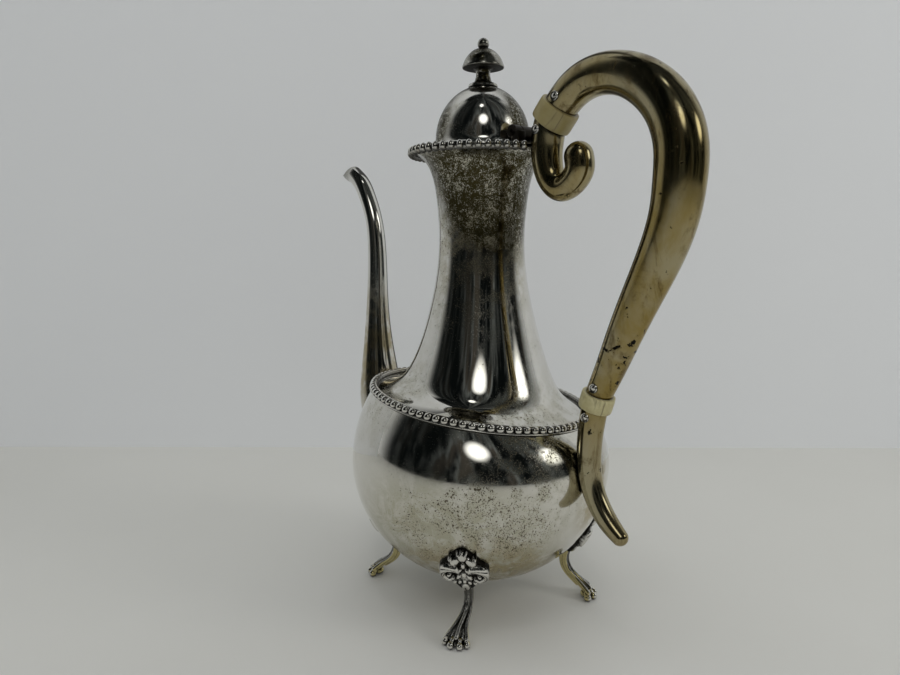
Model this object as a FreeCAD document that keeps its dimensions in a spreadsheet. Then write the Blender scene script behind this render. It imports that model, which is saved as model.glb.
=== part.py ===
import FreeCAD, Part
import os
import Sketcher

# Silver coffee pot on four feet, with a hinged lid and an insulated hollow handle.
# Origin on the table under the middle of the ball-shaped body, +Z up, handle along +X,
# spout along -X. Millimetres and degrees.

DIMENSIONS = {
    # ball-shaped bowl
    "ball_radius": 52.4,
    "equator_height": 57.5,
    "ball_drop": 48.5,
    "base_angle": 74,
    "wall": 1.0,
    # beaded border where neck and bowl meet: a circle tipped up towards its bearing
    "border_radius": 43.5,
    "border_height": 82.2,
    "border_tilt": 7.15,
    "border_bearing": 215,
    "border_bead_count": 84,
    "border_bead_radius": 1.5,
    "border_wire_radius": 1.0,
    "border_sink": 0.4,
    # neck, mouth and the flat seat that the lid rests on
    "neck_foot_radius": 29.0,
    "waist_radius": 16.8,
    "waist_height": 147,
    "mouth_radius": 26.0,
    "mouth_height": 178.9,
    "seat_opening_radius": 21.0,
    "seat_radius": 27.0,
    "seat_thickness": 1.5,
    "rim_border_radius": 27.7,
    "rim_border_height": 179.2,
    "rim_bead_count": 52,
    # spout, as distances out from the axis
    "spout_reach": 69.0,
    "spout_tip_reach": 94.4,
    "spout_tip_height": 178.7,
    "spout_root_height": 50.5,
    "spout_root_radius": 12.2,
    "spout_wall": 0.8,
    "strainer_hole_radius": 1.5,
    "strainer_pitch": 5.0,
    # hollow grip, its two sockets and the insulating collars between them
    "arch_reach": 83.7,
    "arch_height": 199.4,
    "grip_radius": 8.1,
    "grip_wall": 0.8,
    "upper_socket_radius": 6.0,
    "curl_radius": 5.1,
    "lower_socket_radius": 4.65,
    "upper_collar_x": 35.6,
    "upper_collar_z": 189.3,
    "upper_collar_lean": 40,
    "upper_collar_radius": 7.5,
    "upper_collar_length": 7.5,
    "lower_collar_x": 56.7,
    "lower_collar_z": 90.6,
    "lower_collar_lean": 17,
    "lower_collar_radius": 5.95,
    "lower_collar_length": 6.0,
    "upper_tenon_radius": 4.3,
    "lower_tenon_radius": 3.0,
    "tenon_length": 5.5,
    "fit_gap": 0.05,
    "rivet_radius": 0.8,
    "rivet_head_radius": 1.7,
    "rivet_head_height": 0.5,
    # one of the four feet
    "leg_bearing": 36,
    "foot_reach": 45.5,
    "shank_radius": 1.6,
    "toe_radius": 1.9,
    "toe_spread": 2.9,
    "solder_gap": 0.05,
    # lid
    "dome_radius": 18.2,
    "dome_rise": 20.4,
    "dome_height": 184,
    "dome_top_angle": 74,
    "lid_wall": 0.8,
    "flange_radius": 24.5,
    "flange_height": 180.45,
    "flange_chord": 21.4,
    "bezel_radius": 19.4,
    "bezel_wall": 1.0,
    "bezel_depth": 3.0,
    # lid hinge
    "hinge_reach": 22.0,
    "hinge_height": 184.6,
    "knuckle_radius": 2.3,
    "hinge_width": 16.0,
    "lid_knuckle_width": 7.6,
    "knuckle_gap": 0.2,
    "hinge_pin_radius": 0.8,
    # finial and the nut that holds it
    "finial_base_radius": 5.6,
    "finial_waist_radius": 2.7,
    "finial_cap_radius": 8.0,
    "finial_ball_radius": 2.2,
    "finial_rise": 16.1,
    "stud_radius": 1.2,
    "nut_radius": 3.4,
    "nut_height": 2.0,
}

Z_AXIS = (0, 0, 1)
Y_AXIS = (0, 1, 0)

# Bosses of the leaf on each foot: degrees below the equator, degrees to either side, radius.
LEAF_BOSSES = (
    (23, 0, 2.4),
    (25, 3.7, 2.3),
    (29, 7.6, 2.5),
    (34, 7.0, 2.4),
    (31, 3.0, 3.0),
    (38, 3.2, 2.6),
    (42, 0, 2.4),
)
TOE_BEARINGS = (-66, -22, 22, 66)

# Height of the flat on top of the dome, where the finial stands.
DOME_TOP = "(Dims.dome_height + Dims.dome_rise * sin(Dims.dome_top_angle))"

doc = FreeCAD.newDocument("coffee_pot")
sheet = doc.addObject("Spreadsheet::Sheet", "Dims")
for row, (alias, value) in enumerate(DIMENSIONS.items(), start=1):
    sheet.set(f"A{row}", alias.replace("_", " "))
    sheet.set(f"B{row}", str(value))
    sheet.setAlias(f"B{row}", alias)


# ---- helpers ---------------------------------------------------------------------------


def bind(thing, **expressions):
    """Bind properties to expressions; a double underscore in a name stands for a dot."""
    for name, expression in expressions.items():
        thing.setExpression(name.replace("__", "."), str(expression))
    return thing


def add(kind, name, **expressions):
    return bind(doc.addObject(kind, name), **expressions)


def place(thing, x="0", y="0", z="0", axis=Z_AXIS, angle="0"):
    """Bind a placement: a turn by angle about axis, then a move."""
    turn = FreeCAD.Rotation(FreeCAD.Vector(*axis), 10)
    thing.Placement = FreeCAD.Placement(FreeCAD.Vector(0, 0, 0), turn)
    bind(thing, Placement__Base__x=x, Placement__Base__y=y, Placement__Base__z=z)
    return bind(thing, Placement__Rotation__Angle=angle)


def cut(name, base, *tools):
    result = doc.addObject("Part::Cut", name)
    result.Base = base
    result.Tool = tools[0] if len(tools) == 1 else fuse(f"{name}_tools", tools)
    return result


def fuse(name, shapes):
    result = doc.addObject("Part::MultiFuse", name)
    result.Shapes = list(shapes)
    return result


def loft(name, sections, ruled=False):
    result = doc.addObject("Part::Loft", name)
    result.Sections = sections
    result.Solid = True
    result.Ruled = ruled
    return result


def cylinder(name, radius, length):
    return add("Part::Cylinder", name, Radius=radius, Height=length)


def box(name, low, high):
    """A box between two corners given as expressions."""
    sizes = [f"({top}) - ({bottom})" for bottom, top in zip(low, high)]
    block = add("Part::Box", name, Length=sizes[0], Width=sizes[1], Height=sizes[2])
    return place(block, x=low[0], y=low[1], z=low[2])


def cross_rod(name, x, z, radius, length):
    """A cylinder along Y, centred on the plane of handle and spout."""
    rod = cylinder(name, radius, length)
    return place(rod, x=x, y=f"({length}) / 2", z=z, axis=(1, 0, 0), angle="90")


def tip_axis():
    """The level axis about which a circle turns to rise towards the border's bearing."""
    bearing = FreeCAD.Rotation(FreeCAD.Vector(*Z_AXIS), DIMENSIONS["border_bearing"])
    return tuple(bearing.multVec(FreeCAD.Vector(0, -1, 0)))


def round_solid(name, stations, ruled=False):
    """A solid lofted through circles (radius, height, tilt), tipped up towards the border's bearing."""
    circles = []
    for number, (radius, height, tilt) in enumerate(stations):
        circle = add("Part::Circle", f"{name}_circle_{number}", Radius=radius)
        circles.append(place(circle, z=height, axis=tip_axis(), angle=tilt))
    return loft(name, circles, ruled)


def inset(stations, thickness, first_rise="0", last_rise="0"):
    """Stations moved inwards, square to the surface; the end ones also rise to cut through."""
    moved = []
    last = len(stations) - 1
    for number, (radius, height, tilt) in enumerate(stations):
        below = stations[max(number - 1, 0)]
        above = stations[min(number + 1, last)]
        run = f"(({above[0]}) - ({below[0]}))"
        rise = f"(({above[1]}) - ({below[1]}))"
        slope = f"sqrt({run}^2 + {rise}^2)"
        extra = {0: first_rise, last: last_rise}.get(number, "0")
        new_radius = f"({radius}) - {thickness} * {rise} / {slope}"
        new_height = f"({height}) + {thickness} * {run} / {slope} + {extra}"
        moved.append((new_radius, new_height, tilt))
    return moved


def bent_solid(name, stations, less="0"):
    """A solid lofted through circles (x, z, radius) in the handle's plane, square to their centre line.

    A fourth value gives a circle's lean from the vertical in place of its neighbours' direction.
    """
    circles = []
    last = len(stations) - 1
    for number, (x, z, radius, *lean) in enumerate(stations):
        before = stations[max(number - 1, 0)]
        after = stations[min(number + 1, last)]
        along = f"atan2(({after[0]}) - ({before[0]}); ({after[1]}) - ({before[1]}))"
        circle = add("Part::Circle", f"{name}_circle_{number}", Radius=f"({radius}) - {less}")
        angle = lean[0] if lean else along
        circles.append(place(circle, x=x, z=z, axis=Y_AXIS, angle=angle))
    return loft(name, circles)


def ball_at(name, x, z, radius, y="0"):
    return place(add("Part::Sphere", name, Radius=radius), x=x, y=y, z=z)


def origin_part(body, role):
    return next(item for item in body.Origin.OriginFeatures if item.Role == role)


def ring_sketch(body, name, radii):
    """Circles about the body's axis, one for each radius expression."""
    sketch = body.newObject("Sketcher::SketchObject", name)
    sketch.AttachmentSupport = [(origin_part(body, "XY_Plane"), "")]
    sketch.MapMode = "FlatFace"
    for number, radius in enumerate(radii):
        start = 4 - number
        circle = Part.Circle(FreeCAD.Vector(0, 0, 0), FreeCAD.Vector(*Z_AXIS), start)
        sketch.addGeometry(circle, False)
        sketch.addConstraint(Sketcher.Constraint("Coincident", number, 3, -1, 1))
        constraint = sketch.addConstraint(Sketcher.Constraint("Radius", number, start))
        sketch.renameConstraint(constraint, f"radius_{number}")
        sketch.setExpression(f"Constraints.radius_{number}", radius)
    return sketch


def padded_body(name, radii, length):
    """A disc or ring padded upwards from the body's origin."""
    body = doc.addObject("PartDesign::Body", name)
    pad = body.newObject("PartDesign::Pad", f"{name}_pad")
    pad.Profile = ring_sketch(body, f"{name}_outline", radii)
    bind(pad, Length=length)
    body.Tip = pad
    return body


def beaded_ring(name, radius, count, missing=0):
    """A wire ring with a circle of balls on it, cast as one strip; it opens at +X by some missing balls."""
    pitch = f"360 / {count}"
    first = f"{pitch} * {(missing + 1) / 2}"
    span = f"360 - {pitch} * {missing + 1}"
    body = doc.addObject("PartDesign::Body", name)
    wire = body.newObject("PartDesign::AdditiveTorus", f"{name}_wire")
    bind(wire, Radius1=radius, Radius2="Dims.border_wire_radius", Angle3=f"{span} + {pitch}")
    place(wire, angle=f"{pitch} * {missing / 2}")
    bead = body.newObject("PartDesign::AdditiveSphere", f"{name}_bead")
    bind(bead, Radius="Dims.border_bead_radius")
    place(bead, x=f"({radius}) * cos({first})", y=f"({radius}) * sin({first})")
    pattern = body.newObject("PartDesign::PolarPattern", f"{name}_beads")
    pattern.Originals = [bead]
    pattern.Axis = (origin_part(body, "Z_Axis"), [""])
    bind(pattern, Angle=span, Occurrences=f"{count} - {missing}")
    body.Tip = pattern
    return body


# ---- body: bowl, neck, seat and beaded borders -----------------------------------------


EQUATOR_STATION = 6  # stations from the base up to and with the equator


def bowl_stations(inside="0"):
    """The ball from its flat base to the equator, then tipping over to the border."""
    radius = f"(Dims.ball_radius - {inside})"
    drop = f"(Dims.ball_drop - {inside})"
    top = "acos(Dims.border_radius / Dims.ball_radius)"
    rise = f"(Dims.border_height - Dims.equator_height) / sin({top})"
    stations = []
    for angle in ("Dims.base_angle", "60", "45", "30", "15", "0"):
        height = f"Dims.equator_height - {drop} * sin({angle})"
        stations.append((f"{radius} * cos({angle})", height, "0"))
    for part in (0.35, 0.7, 1):
        height = f"Dims.equator_height + {rise} * sin({part} * {top})"
        outer = f"Dims.ball_radius * cos({part} * {top})"
        stations.append((outer, height, f"Dims.border_tilt * {part}^1.5"))
    return stations


def neck_stations():
    """From the tipped border circle up the flared foot and the waist to the level mouth."""
    foot, waist, mouth = "Dims.neck_foot_radius", "Dims.waist_radius", "Dims.mouth_radius"
    lower = "(Dims.waist_height - Dims.border_height)"
    upper = "(Dims.mouth_height - Dims.waist_height)"
    stations = [("Dims.border_radius", "Dims.border_height", "Dims.border_tilt")]
    for radius, part, tilt in (
        (f"{foot} * 1.31", 0.045, 0.92),
        (f"{foot} * 1.13", 0.098, 0.75),
        (foot, 0.172, 0.5),
        (f"{foot} * 0.86", 0.32, 0.2),
        (f"{waist} * 1.27", 0.51, 0),
        (f"{waist} * 1.12", 0.68, 0),
        (waist, 1, 0),
    ):
        stations.append((radius, f"Dims.border_height + {lower} * {part}", f"Dims.border_tilt * {tilt}"))
    for radius, part in (
        (f"{waist} * 1.025", 0.28),
        (f"{mouth} * 0.70", 0.55),
        (f"{mouth} * 0.76", 0.76),
        (f"{mouth} * 0.86", 0.91),
        (mouth, 1),
    ):
        stations.append((radius, f"Dims.waist_height + {upper} * {part}", "0"))
    return stations


def strainer_holes():
    """A square of small holes through the bowl behind the spout, fused as one tool."""
    holes = []
    for row in (-1, 0, 1):
        for column in (-1, 0, 1):
            name = f"strainer_hole_{row + 2}{column + 2}"
            hole = cylinder(name, "Dims.strainer_hole_radius", "4 * Dims.strainer_pitch")
            place(
                hole,
                x="-Dims.ball_radius - Dims.strainer_pitch",
                y=f"Dims.strainer_pitch * {column}",
                z=f"Dims.spout_root_height + Dims.strainer_pitch * {row}",
                axis=Y_AXIS,
                angle="90",
            )
            holes.append(hole)
    return fuse("strainer_holes", holes)


def make_bowl():
    outside = round_solid("bowl_outside", bowl_stations())
    lower = bowl_stations("Dims.wall")[:EQUATOR_STATION]
    upper = inset(bowl_stations(), "Dims.wall", last_rise="Dims.wall")[EQUATOR_STATION:]
    hollow = lower + upper
    shell = cut("bowl_shell", outside, round_solid("bowl_inside", hollow))
    return outside, cut("bowl", shell, strainer_holes())


def make_neck():
    stations = neck_stations()
    outside = round_solid("neck_outside", stations)
    hollow = inset(stations, "Dims.wall", first_rise="-Dims.wall", last_rise="Dims.wall")
    return outside, cut("neck", outside, round_solid("neck_inside", hollow))


def make_seat():
    seat = padded_body(
        "lid_seat_ring", ["Dims.seat_radius", "Dims.seat_opening_radius"], "Dims.seat_thickness"
    )
    return place(seat, z="Dims.mouth_height")


def make_shoulder_border():
    """Beaded strip soldered over the seam of neck and bowl, sunk a little into both."""
    radius, height = "Dims.border_radius + Dims.border_sink", "Dims.border_height + Dims.border_sink"
    ring = beaded_ring("shoulder_bead_border", radius, "Dims.border_bead_count")
    return place(ring, z=height, axis=tip_axis(), angle="Dims.border_tilt")


def make_rim_border():
    """The same strip round the mouth, open where the upper socket stands."""
    ring = beaded_ring("rim_bead_border", "Dims.rim_border_radius", "Dims.rim_bead_count", missing=3)
    return place(ring, z="Dims.rim_border_height")


# ---- spout -----------------------------------------------------------------------------


def make_spout(bowl_outside):
    """A gooseneck: swollen root on the bowl, long slender rise, lip turned outwards."""
    reach, tip, root = "Dims.spout_reach", "Dims.spout_tip_reach", "Dims.spout_root_radius"
    rise = "(Dims.spout_tip_height - Dims.spout_root_height)"
    stations = []
    for out, up, size in (
        (f"{reach} * 0.62", 0, 0.97),
        (f"{reach} * 0.74", 0.012, 1),
        (f"{reach} * 0.84", 0.045, 0.98),
        (f"{reach} * 0.925", 0.105, 0.91),
        (f"{reach} * 0.972", 0.175, 0.83),
        (f"{reach} * 0.985", 0.242, 0.74),
        (f"{reach} * 0.992", 0.306, 0.645),
        (reach, 0.438, 0.48),
        (f"{reach} * 0.998", 0.566, 0.395),
        (f"{reach} * 0.998", 0.694, 0.355),
        (f"{reach} * 1.031", 0.818, 0.295),
        (f"{reach} * 1.1", 0.9, 0.27),
        (f"{tip} * 0.868", 0.946, 0.25),
        (f"{tip} * 0.918", 0.983, 0.23),
        (f"{tip} * 0.965", 1, 0.21),
        (tip, 1, 0.19),
    ):
        stations.append((f"-{out}", f"Dims.spout_root_height + {rise} * {up}", f"{root} * {size}"))
    outside = bent_solid("spout_outside", stations)
    hollow = bent_solid("spout_inside", stations, "Dims.spout_wall")
    return cut("spout", outside, bowl_outside, hollow)


# ---- handle ----------------------------------------------------------------------------


def collar_end(level, side):
    """The x, z and lean where a collar meets its neighbour; side is -1 below it and 1 above."""
    lean = f"Dims.{level}_collar_lean"
    half = f"Dims.{level}_collar_length / 2"
    x = f"Dims.{level}_collar_x + {side} * {half} * sin({lean})"
    z = f"Dims.{level}_collar_z + {side} * {half} * cos({lean})"
    return x, z, lean


def tenon_hole(name, level, side):
    """A blind bore for a collar's tenon, from the collar's end face away from the collar."""
    x, z, lean = collar_end(level, side)
    bore = cylinder(name, f"Dims.{level}_tenon_radius + Dims.fit_gap", "Dims.tenon_length + Dims.fit_gap")
    turn = lean if side > 0 else f"{lean} + 180"
    return place(bore, x=x, z=z, axis=Y_AXIS, angle=turn)


def make_upper_socket(neck_outside, seat):
    """A tube from the collar down past the rim, curled up again to a round end."""
    x, z, lean = collar_end("upper", -1)
    full, thin = "Dims.upper_socket_radius", "Dims.curl_radius"
    stations = [(x, z, full, f"{lean} + 180")]
    for across, down, radius in (
        (-3.6, 10.8, f"{full} * 0.96"),
        (-3.0, 16.8, f"{full} * 0.9"),
        (-0.9, 22.0, f"{full} * 0.84"),
        (3.2, 25.0, f"{thin} * 0.95"),
        (8.0, 23.2, f"{thin} * 0.97"),
        (10.9, 18.6, thin),
        (10.4, 14.9, thin),
    ):
        stations.append((f"Dims.upper_collar_x + {across}", f"Dims.upper_collar_z - {down}", radius))
    end = ball_at("curl_end", *stations[-1])
    body = fuse("upper_socket_body", [bent_solid("upper_socket_tube", stations), end])
    socket = cut(
        "upper_handle_socket",
        body,
        neck_outside,
        seat,
        tenon_hole("upper_socket_bore", "upper", -1),
        rivet_hole("upper_socket_rivet_hole", "upper", -1),
    )
    return body, socket


def make_lower_socket(bowl_outside):
    """A tapering tail that touches the bowl and curves out to a round end."""
    x, z, lean = collar_end("lower", -1)
    full = "Dims.lower_socket_radius"
    stations = [(x, z, full, f"{lean} + 180")]
    for across, down, size in (
        (-1.9, 9.3, 0.985),
        (-2.5, 16.6, 0.955),
        (-2.3, 23.6, 0.925),
        (-0.9, 30.6, 0.88),
        (1.5, 35.9, 0.85),
        (5.2, 41.0, 0.8),
        (8.7, 44.4, 0.72),
        (11.3, 46.4, 0.64),
    ):
        place_x, place_z = f"Dims.lower_collar_x + {across}", f"Dims.lower_collar_z - {down}"
        stations.append((place_x, place_z, f"{full} * {size}"))
    body = fuse("lower_socket_body", [
        bent_solid("lower_socket_tube", stations),
        ball_at("tail_end", *stations[-1]),
    ])
    return cut(
        "lower_handle_socket",
        body,
        bowl_outside,
        tenon_hole("lower_socket_bore", "lower", -1),
        rivet_hole("lower_socket_rivet_hole", "lower", -1),
    )


def make_grip():
    """A hollow tube that arches out and back, fullest at its outermost point."""
    top_x, top_z, top_lean = collar_end("upper", 1)
    low_x, low_z, low_lean = collar_end("lower", 1)
    reach, full = "Dims.arch_reach", "Dims.grip_radius"
    fall = "(Dims.arch_height - Dims.lower_collar_z)"
    stations = [(top_x, top_z, f"{full} * 0.755", top_lean)]
    for out, up, size in (
        (0.51, 0.971, 0.785),
        (0.573, 0.995, 0.81),
        (0.712, 1, 0.84),
        (0.853, 0.951, 0.915),
        (0.956, 0.864, 0.975),
        (0.998, 0.769, 1),
        (1, 0.679, 0.995),
        (0.987, 0.589, 0.957),
        (0.951, 0.494, 0.915),
        (0.878, 0.365, 0.83),
        (0.8, 0.23, 0.735),
        (0.735, 0.108, 0.64),
    ):
        stations.append((f"{reach} * {out}", f"Dims.lower_collar_z + {fall} * {up}", f"{full} * {size}"))
    stations.append((low_x, low_z, f"{full} * 0.58", f"{low_lean} + 180"))
    outside = bent_solid("grip_outside", stations)
    hollow = bent_solid("grip_inside", stations, "Dims.grip_wall")
    return cut(
        "handle_grip",
        outside,
        hollow,
        rivet_hole("grip_upper_rivet_hole", "upper", 1),
        rivet_hole("grip_lower_rivet_hole", "lower", 1),
    )


def make_collar(level):
    """An insulating collar: barrel-shaped belly with a tenon into each neighbour."""
    full, length = f"Dims.{level}_collar_radius", f"Dims.{level}_collar_length"
    belly = round_solid(f"{level}_belly", [
        (f"{full} * 0.88", f"-{length} / 2", "0"),
        (full, "0", "0"),
        (f"{full} * 0.88", f"{length} / 2", "0"),
    ])
    tenon = cylinder(f"{level}_tenon", f"Dims.{level}_tenon_radius", f"{length} + 2 * Dims.tenon_length")
    place(tenon, z=f"-{length} / 2 - Dims.tenon_length")
    collar = fuse(f"{level}_collar", [belly, tenon])
    lean = f"Dims.{level}_collar_lean"
    place(collar, x=f"Dims.{level}_collar_x", z=f"Dims.{level}_collar_z", axis=Y_AXIS, angle=lean)
    holes = [rivet_hole(f"{level}_collar_hole_{side + 1}", level, side) for side in (-1, 1)]
    return cut(f"{level}_insulator", collar, *holes)


def rivet_place(level, side):
    """A rivet crosses the tenon halfway along it."""
    lean = f"Dims.{level}_collar_lean"
    along = f"(Dims.{level}_collar_length / 2 + Dims.tenon_length / 2)"
    x = f"Dims.{level}_collar_x + {side} * {along} * sin({lean})"
    z = f"Dims.{level}_collar_z + {side} * {along} * cos({lean})"
    return x, z


def rivet_hole(name, level, side):
    x, z = rivet_place(level, side)
    return cross_rod(name, x, z, "Dims.rivet_radius", "4 * Dims.grip_radius")


def make_rivets(level, tube_radii):
    """Two rivets, each a shank with a flat round head at both ends."""
    rivets = []
    for side, tube_radius in zip((-1, 1), tube_radii):
        x, z = rivet_place(level, side)
        name = f"{level}_rivet_{side + 1}"
        shank = cross_rod(f"{name}_shank", x, z, "Dims.rivet_radius", f"2 * ({tube_radius})")
        ends = f"2 * ({tube_radius} + Dims.rivet_head_height)"
        heads = cross_rod(f"{name}_heads", x, z, "Dims.rivet_head_radius", ends)
        middle = cross_rod(f"{name}_middle", x, z, "2 * Dims.rivet_head_radius", f"2 * ({tube_radius})")
        rivets.append(fuse(name, [shank, cut(f"{name}_caps", heads, middle)]))
    rivet_pair = doc.addObject("Part::Compound", f"{level}_insulator_rivets")
    rivet_pair.Links = rivets
    return rivet_pair


# ---- legs ------------------------------------------------------------------------------


def bowl_point(drop_angle):
    """Distance out and height of the ball's surface at an angle below the equator."""
    out = f"Dims.ball_radius * cos({drop_angle})"
    height = f"Dims.equator_height - Dims.ball_drop * sin({drop_angle})"
    return out, height


def leaf_boss(name, drop_angle, side_angle, radius):
    """One boss of the leaf that is cast with the leg, half sunk in the ball."""
    out, height = bowl_point(drop_angle)
    return ball_at(name, f"{out} * cos({side_angle})", height, radius, y=f"{out} * sin({side_angle})")


def make_leg_casting():
    """A leaf on the ball, a thin S-shaped shank and a paw of round toes with flat soles.

    A film of solder keeps the leaf off the ball.
    """
    reach, thin = "Dims.foot_reach", "Dims.shank_radius"
    stations = []
    for out, height, size in (
        (0.87, 25.5, 1.7),
        (0.8, 21.5, 1.35),
        (0.768, 17.5, 1.05),
        (0.775, 13.8, 0.95),
        (0.82, 10.2, 0.93),
        (0.895, 7.3, 0.97),
        (0.965, 5.4, 1.1),
        (1.03, 3.8, 1.25),
    ):
        stations.append((f"{reach} * {out}", height, f"{thin} * {size}"))
    pieces = [bent_solid("shank", stations)]
    for number, turn in enumerate(TOE_BEARINGS):
        x, y = f"{reach} + Dims.toe_spread * cos({turn})", f"Dims.toe_spread * sin({turn})"
        pieces.append(ball_at(f"toe_{number}", x, "Dims.toe_radius * 0.9", "Dims.toe_radius", y))
    for number, (drop, side, radius) in enumerate(LEAF_BOSSES):
        for turn in sorted({-side, side}):
            pieces.append(leaf_boss(f"boss_{number}_{len(pieces)}", drop, turn, radius))
    below_ground = box(
        "below_ground",
        (f"-{reach}", f"-{reach}", "-2 * Dims.toe_radius"),
        (f"2 * {reach}", reach, "0"),
    )
    ball = round_solid("ball_and_solder", bowl_stations("-Dims.solder_gap")[:EQUATOR_STATION])
    return cut("leg_casting", fuse("leg_solid", pieces), ball, below_ground)


def make_legs():
    casting = make_leg_casting()
    legs = []
    for turn, side in enumerate(("back_handle", "back_spout", "front_spout", "front_handle")):
        leg = doc.addObject("Part::Compound", f"leg_{side}")
        leg.Links = [casting]
        legs.append(place(leg, angle=f"Dims.leg_bearing + {90 * turn}"))
    return legs


# ---- lid -------------------------------------------------------------------------------


def dome_stations():
    """A small flare at the foot, then an upright half ellipse with a flat top."""
    stations = [
        ("Dims.dome_radius * 1.06", "Dims.flange_height + Dims.lid_wall", "0"),
        ("Dims.dome_radius * 1.01", "Dims.dome_height - 1", "0"),
    ]
    for angle in (15, 30, 45, 60, "Dims.dome_top_angle"):
        height = f"Dims.dome_height + Dims.dome_rise * sin({angle})"
        stations.append((f"Dims.dome_radius * cos({angle})", height, "0"))
    return stations


def make_lid_dome():
    stations = dome_stations()
    dome = round_solid("dome_outside", stations)
    disc = place(cylinder("flange_disc", "Dims.flange_radius", "Dims.lid_wall"), z="Dims.flange_height")
    edge = "Dims.flange_radius"
    behind = box(
        "flange_trim",
        ("Dims.flange_chord", f"-{edge}", "Dims.flange_height - Dims.lid_wall"),
        (edge, edge, "Dims.dome_height"),
    )
    solid = fuse("lid_solid", [dome, cut("flange", disc, behind)])
    hollow = round_solid("dome_inside", inset(stations, "Dims.lid_wall", first_rise="-2 * Dims.lid_wall"))
    stud_hole = cylinder("dome_stud_hole", "Dims.stud_radius + Dims.fit_gap", "Dims.dome_rise")
    place(stud_hole, z=f"{DOME_TOP} - Dims.dome_rise / 2")
    return dome, cut("lid_dome", solid, hollow, stud_hole)


def make_bezel():
    bezel = padded_body(
        "lid_bezel", ["Dims.bezel_radius", "Dims.bezel_radius - Dims.bezel_wall"], "Dims.bezel_depth"
    )
    return place(bezel, z="Dims.flange_height - Dims.bezel_depth")


def make_finial():
    """Foot disc, pinched waist and mushroom cap turned in one, with a ball on top and a stud below."""
    foot, waist = "Dims.finial_base_radius", "Dims.finial_waist_radius"
    cap, rise = "Dims.finial_cap_radius", "Dims.finial_rise"
    stations = []
    for radius, part in (
        (foot, 0),
        (foot, 0.05),
        (f"{waist} * 1.5", 0.1),
        (f"{waist} * 1.1", 0.22),
        (waist, 0.33),
        (f"{waist} * 1.3", 0.43),
        (f"{cap} * 0.55", 0.445),
        (f"{cap} * 0.97", 0.5),
        (cap, 0.55),
        (f"{cap} * 0.96", 0.62),
        (f"{cap} * 0.8", 0.74),
        (f"{cap} * 0.52", 0.85),
        (f"{cap} * 0.22", 0.91),
    ):
        stations.append((radius, f"{DOME_TOP} + {rise} * {part}", "0"))
    spindle = round_solid("finial_spindle", stations, ruled=True)
    knob = ball_at("finial_ball", "0", f"{DOME_TOP} + {rise}", "Dims.finial_ball_radius")
    stud_length = "(Dims.lid_wall + Dims.nut_height + 1)"
    stud = place(cylinder("finial_stud", "Dims.stud_radius", stud_length), z=f"{DOME_TOP} - {stud_length}")
    return fuse("lid_finial", [spindle, knob, stud])


def make_nut():
    radii = ["Dims.nut_radius", "Dims.stud_radius + Dims.fit_gap"]
    nut = padded_body("finial_nut", radii, "Dims.nut_height")
    return place(nut, z=f"{DOME_TOP} - Dims.lid_wall - Dims.nut_height")


# ---- lid hinge -------------------------------------------------------------------------


def make_lid_knuckle(dome):
    """The middle knuckle, with a tongue that is soldered to the lid."""
    width = "Dims.lid_knuckle_width"
    reach, height, radius = "Dims.hinge_reach", "Dims.hinge_height", "Dims.knuckle_radius"
    barrel = cross_rod("lid_barrel", reach, height, radius, width)
    tongue = box(
        "lid_tongue",
        ("Dims.dome_radius * 0.9", f"-{width} / 2", "Dims.flange_height + Dims.lid_wall"),
        (f"{reach} - 0.6", f"{width} / 2", height),
    )
    bore_radius = "Dims.hinge_pin_radius + Dims.fit_gap"
    bore = cross_rod("lid_knuckle_bore", reach, height, bore_radius, f"2 * {width}")
    return cut("lid_hinge_knuckle", fuse("lid_knuckle_solid", [barrel, tongue]), dome, bore)


def make_hinge_saddle(socket_body):
    """The two outer knuckles on a plate that is soldered to the seat and the upper socket."""
    reach, height, radius = "Dims.hinge_reach", "Dims.hinge_height", "Dims.knuckle_radius"
    inner = "(Dims.lid_knuckle_width / 2 + Dims.knuckle_gap)"
    seat_top = "Dims.mouth_height + Dims.seat_thickness"
    behind = "Dims.seat_radius - Dims.border_bead_radius"
    barrel = cross_rod("saddle_barrel", reach, height, radius, "Dims.hinge_width")
    cheeks = box(
        "saddle_cheeks",
        (reach, "-Dims.hinge_width / 2", seat_top),
        (behind, "Dims.hinge_width / 2", f"{height} + {radius} * 0.6"),
    )
    room = box(
        "knuckle_room",
        ("0", f"-{inner}", "Dims.mouth_height - 5"),
        (f"{reach} + {radius} + 0.4", inner, f"{height} + 2 * {radius}"),
    )
    bore = cross_rod("saddle_bore", reach, height, "Dims.hinge_pin_radius", "2 * Dims.hinge_width")
    return cut("body_hinge_saddle", fuse("saddle_solid", [barrel, cheeks]), room, socket_body, bore)


def make_hinge_pin():
    pin = padded_body("hinge_pin", ["Dims.hinge_pin_radius"], "Dims.hinge_width")
    return place(
        pin,
        x="Dims.hinge_reach",
        y="Dims.hinge_width / 2",
        z="Dims.hinge_height",
        axis=(1, 0, 0),
        angle="90",
    )


# ---- assembly --------------------------------------------------------------------------


def make_parts():
    bowl_outside, bowl = make_bowl()
    neck_outside, neck = make_neck()
    seat = make_seat()
    socket_body, upper_socket = make_upper_socket(neck_outside, seat)
    dome, lid_dome = make_lid_dome()
    return [
        bowl,
        neck,
        seat,
        make_shoulder_border(),
        make_rim_border(),
        make_spout(bowl_outside),
        upper_socket,
        make_lower_socket(bowl_outside),
        make_grip(),
        make_collar("upper"),
        make_collar("lower"),
        make_rivets("upper", ("Dims.upper_socket_radius + 2 * Dims.fit_gap", "Dims.grip_radius * 0.785")),
        make_rivets("lower", ("Dims.lower_socket_radius", "Dims.grip_radius * 0.62")),
        *make_legs(),
        lid_dome,
        make_bezel(),
        make_finial(),
        make_nut(),
        make_lid_knuckle(dome),
        make_hinge_saddle(socket_body),
        make_hinge_pin(),
    ]


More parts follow.
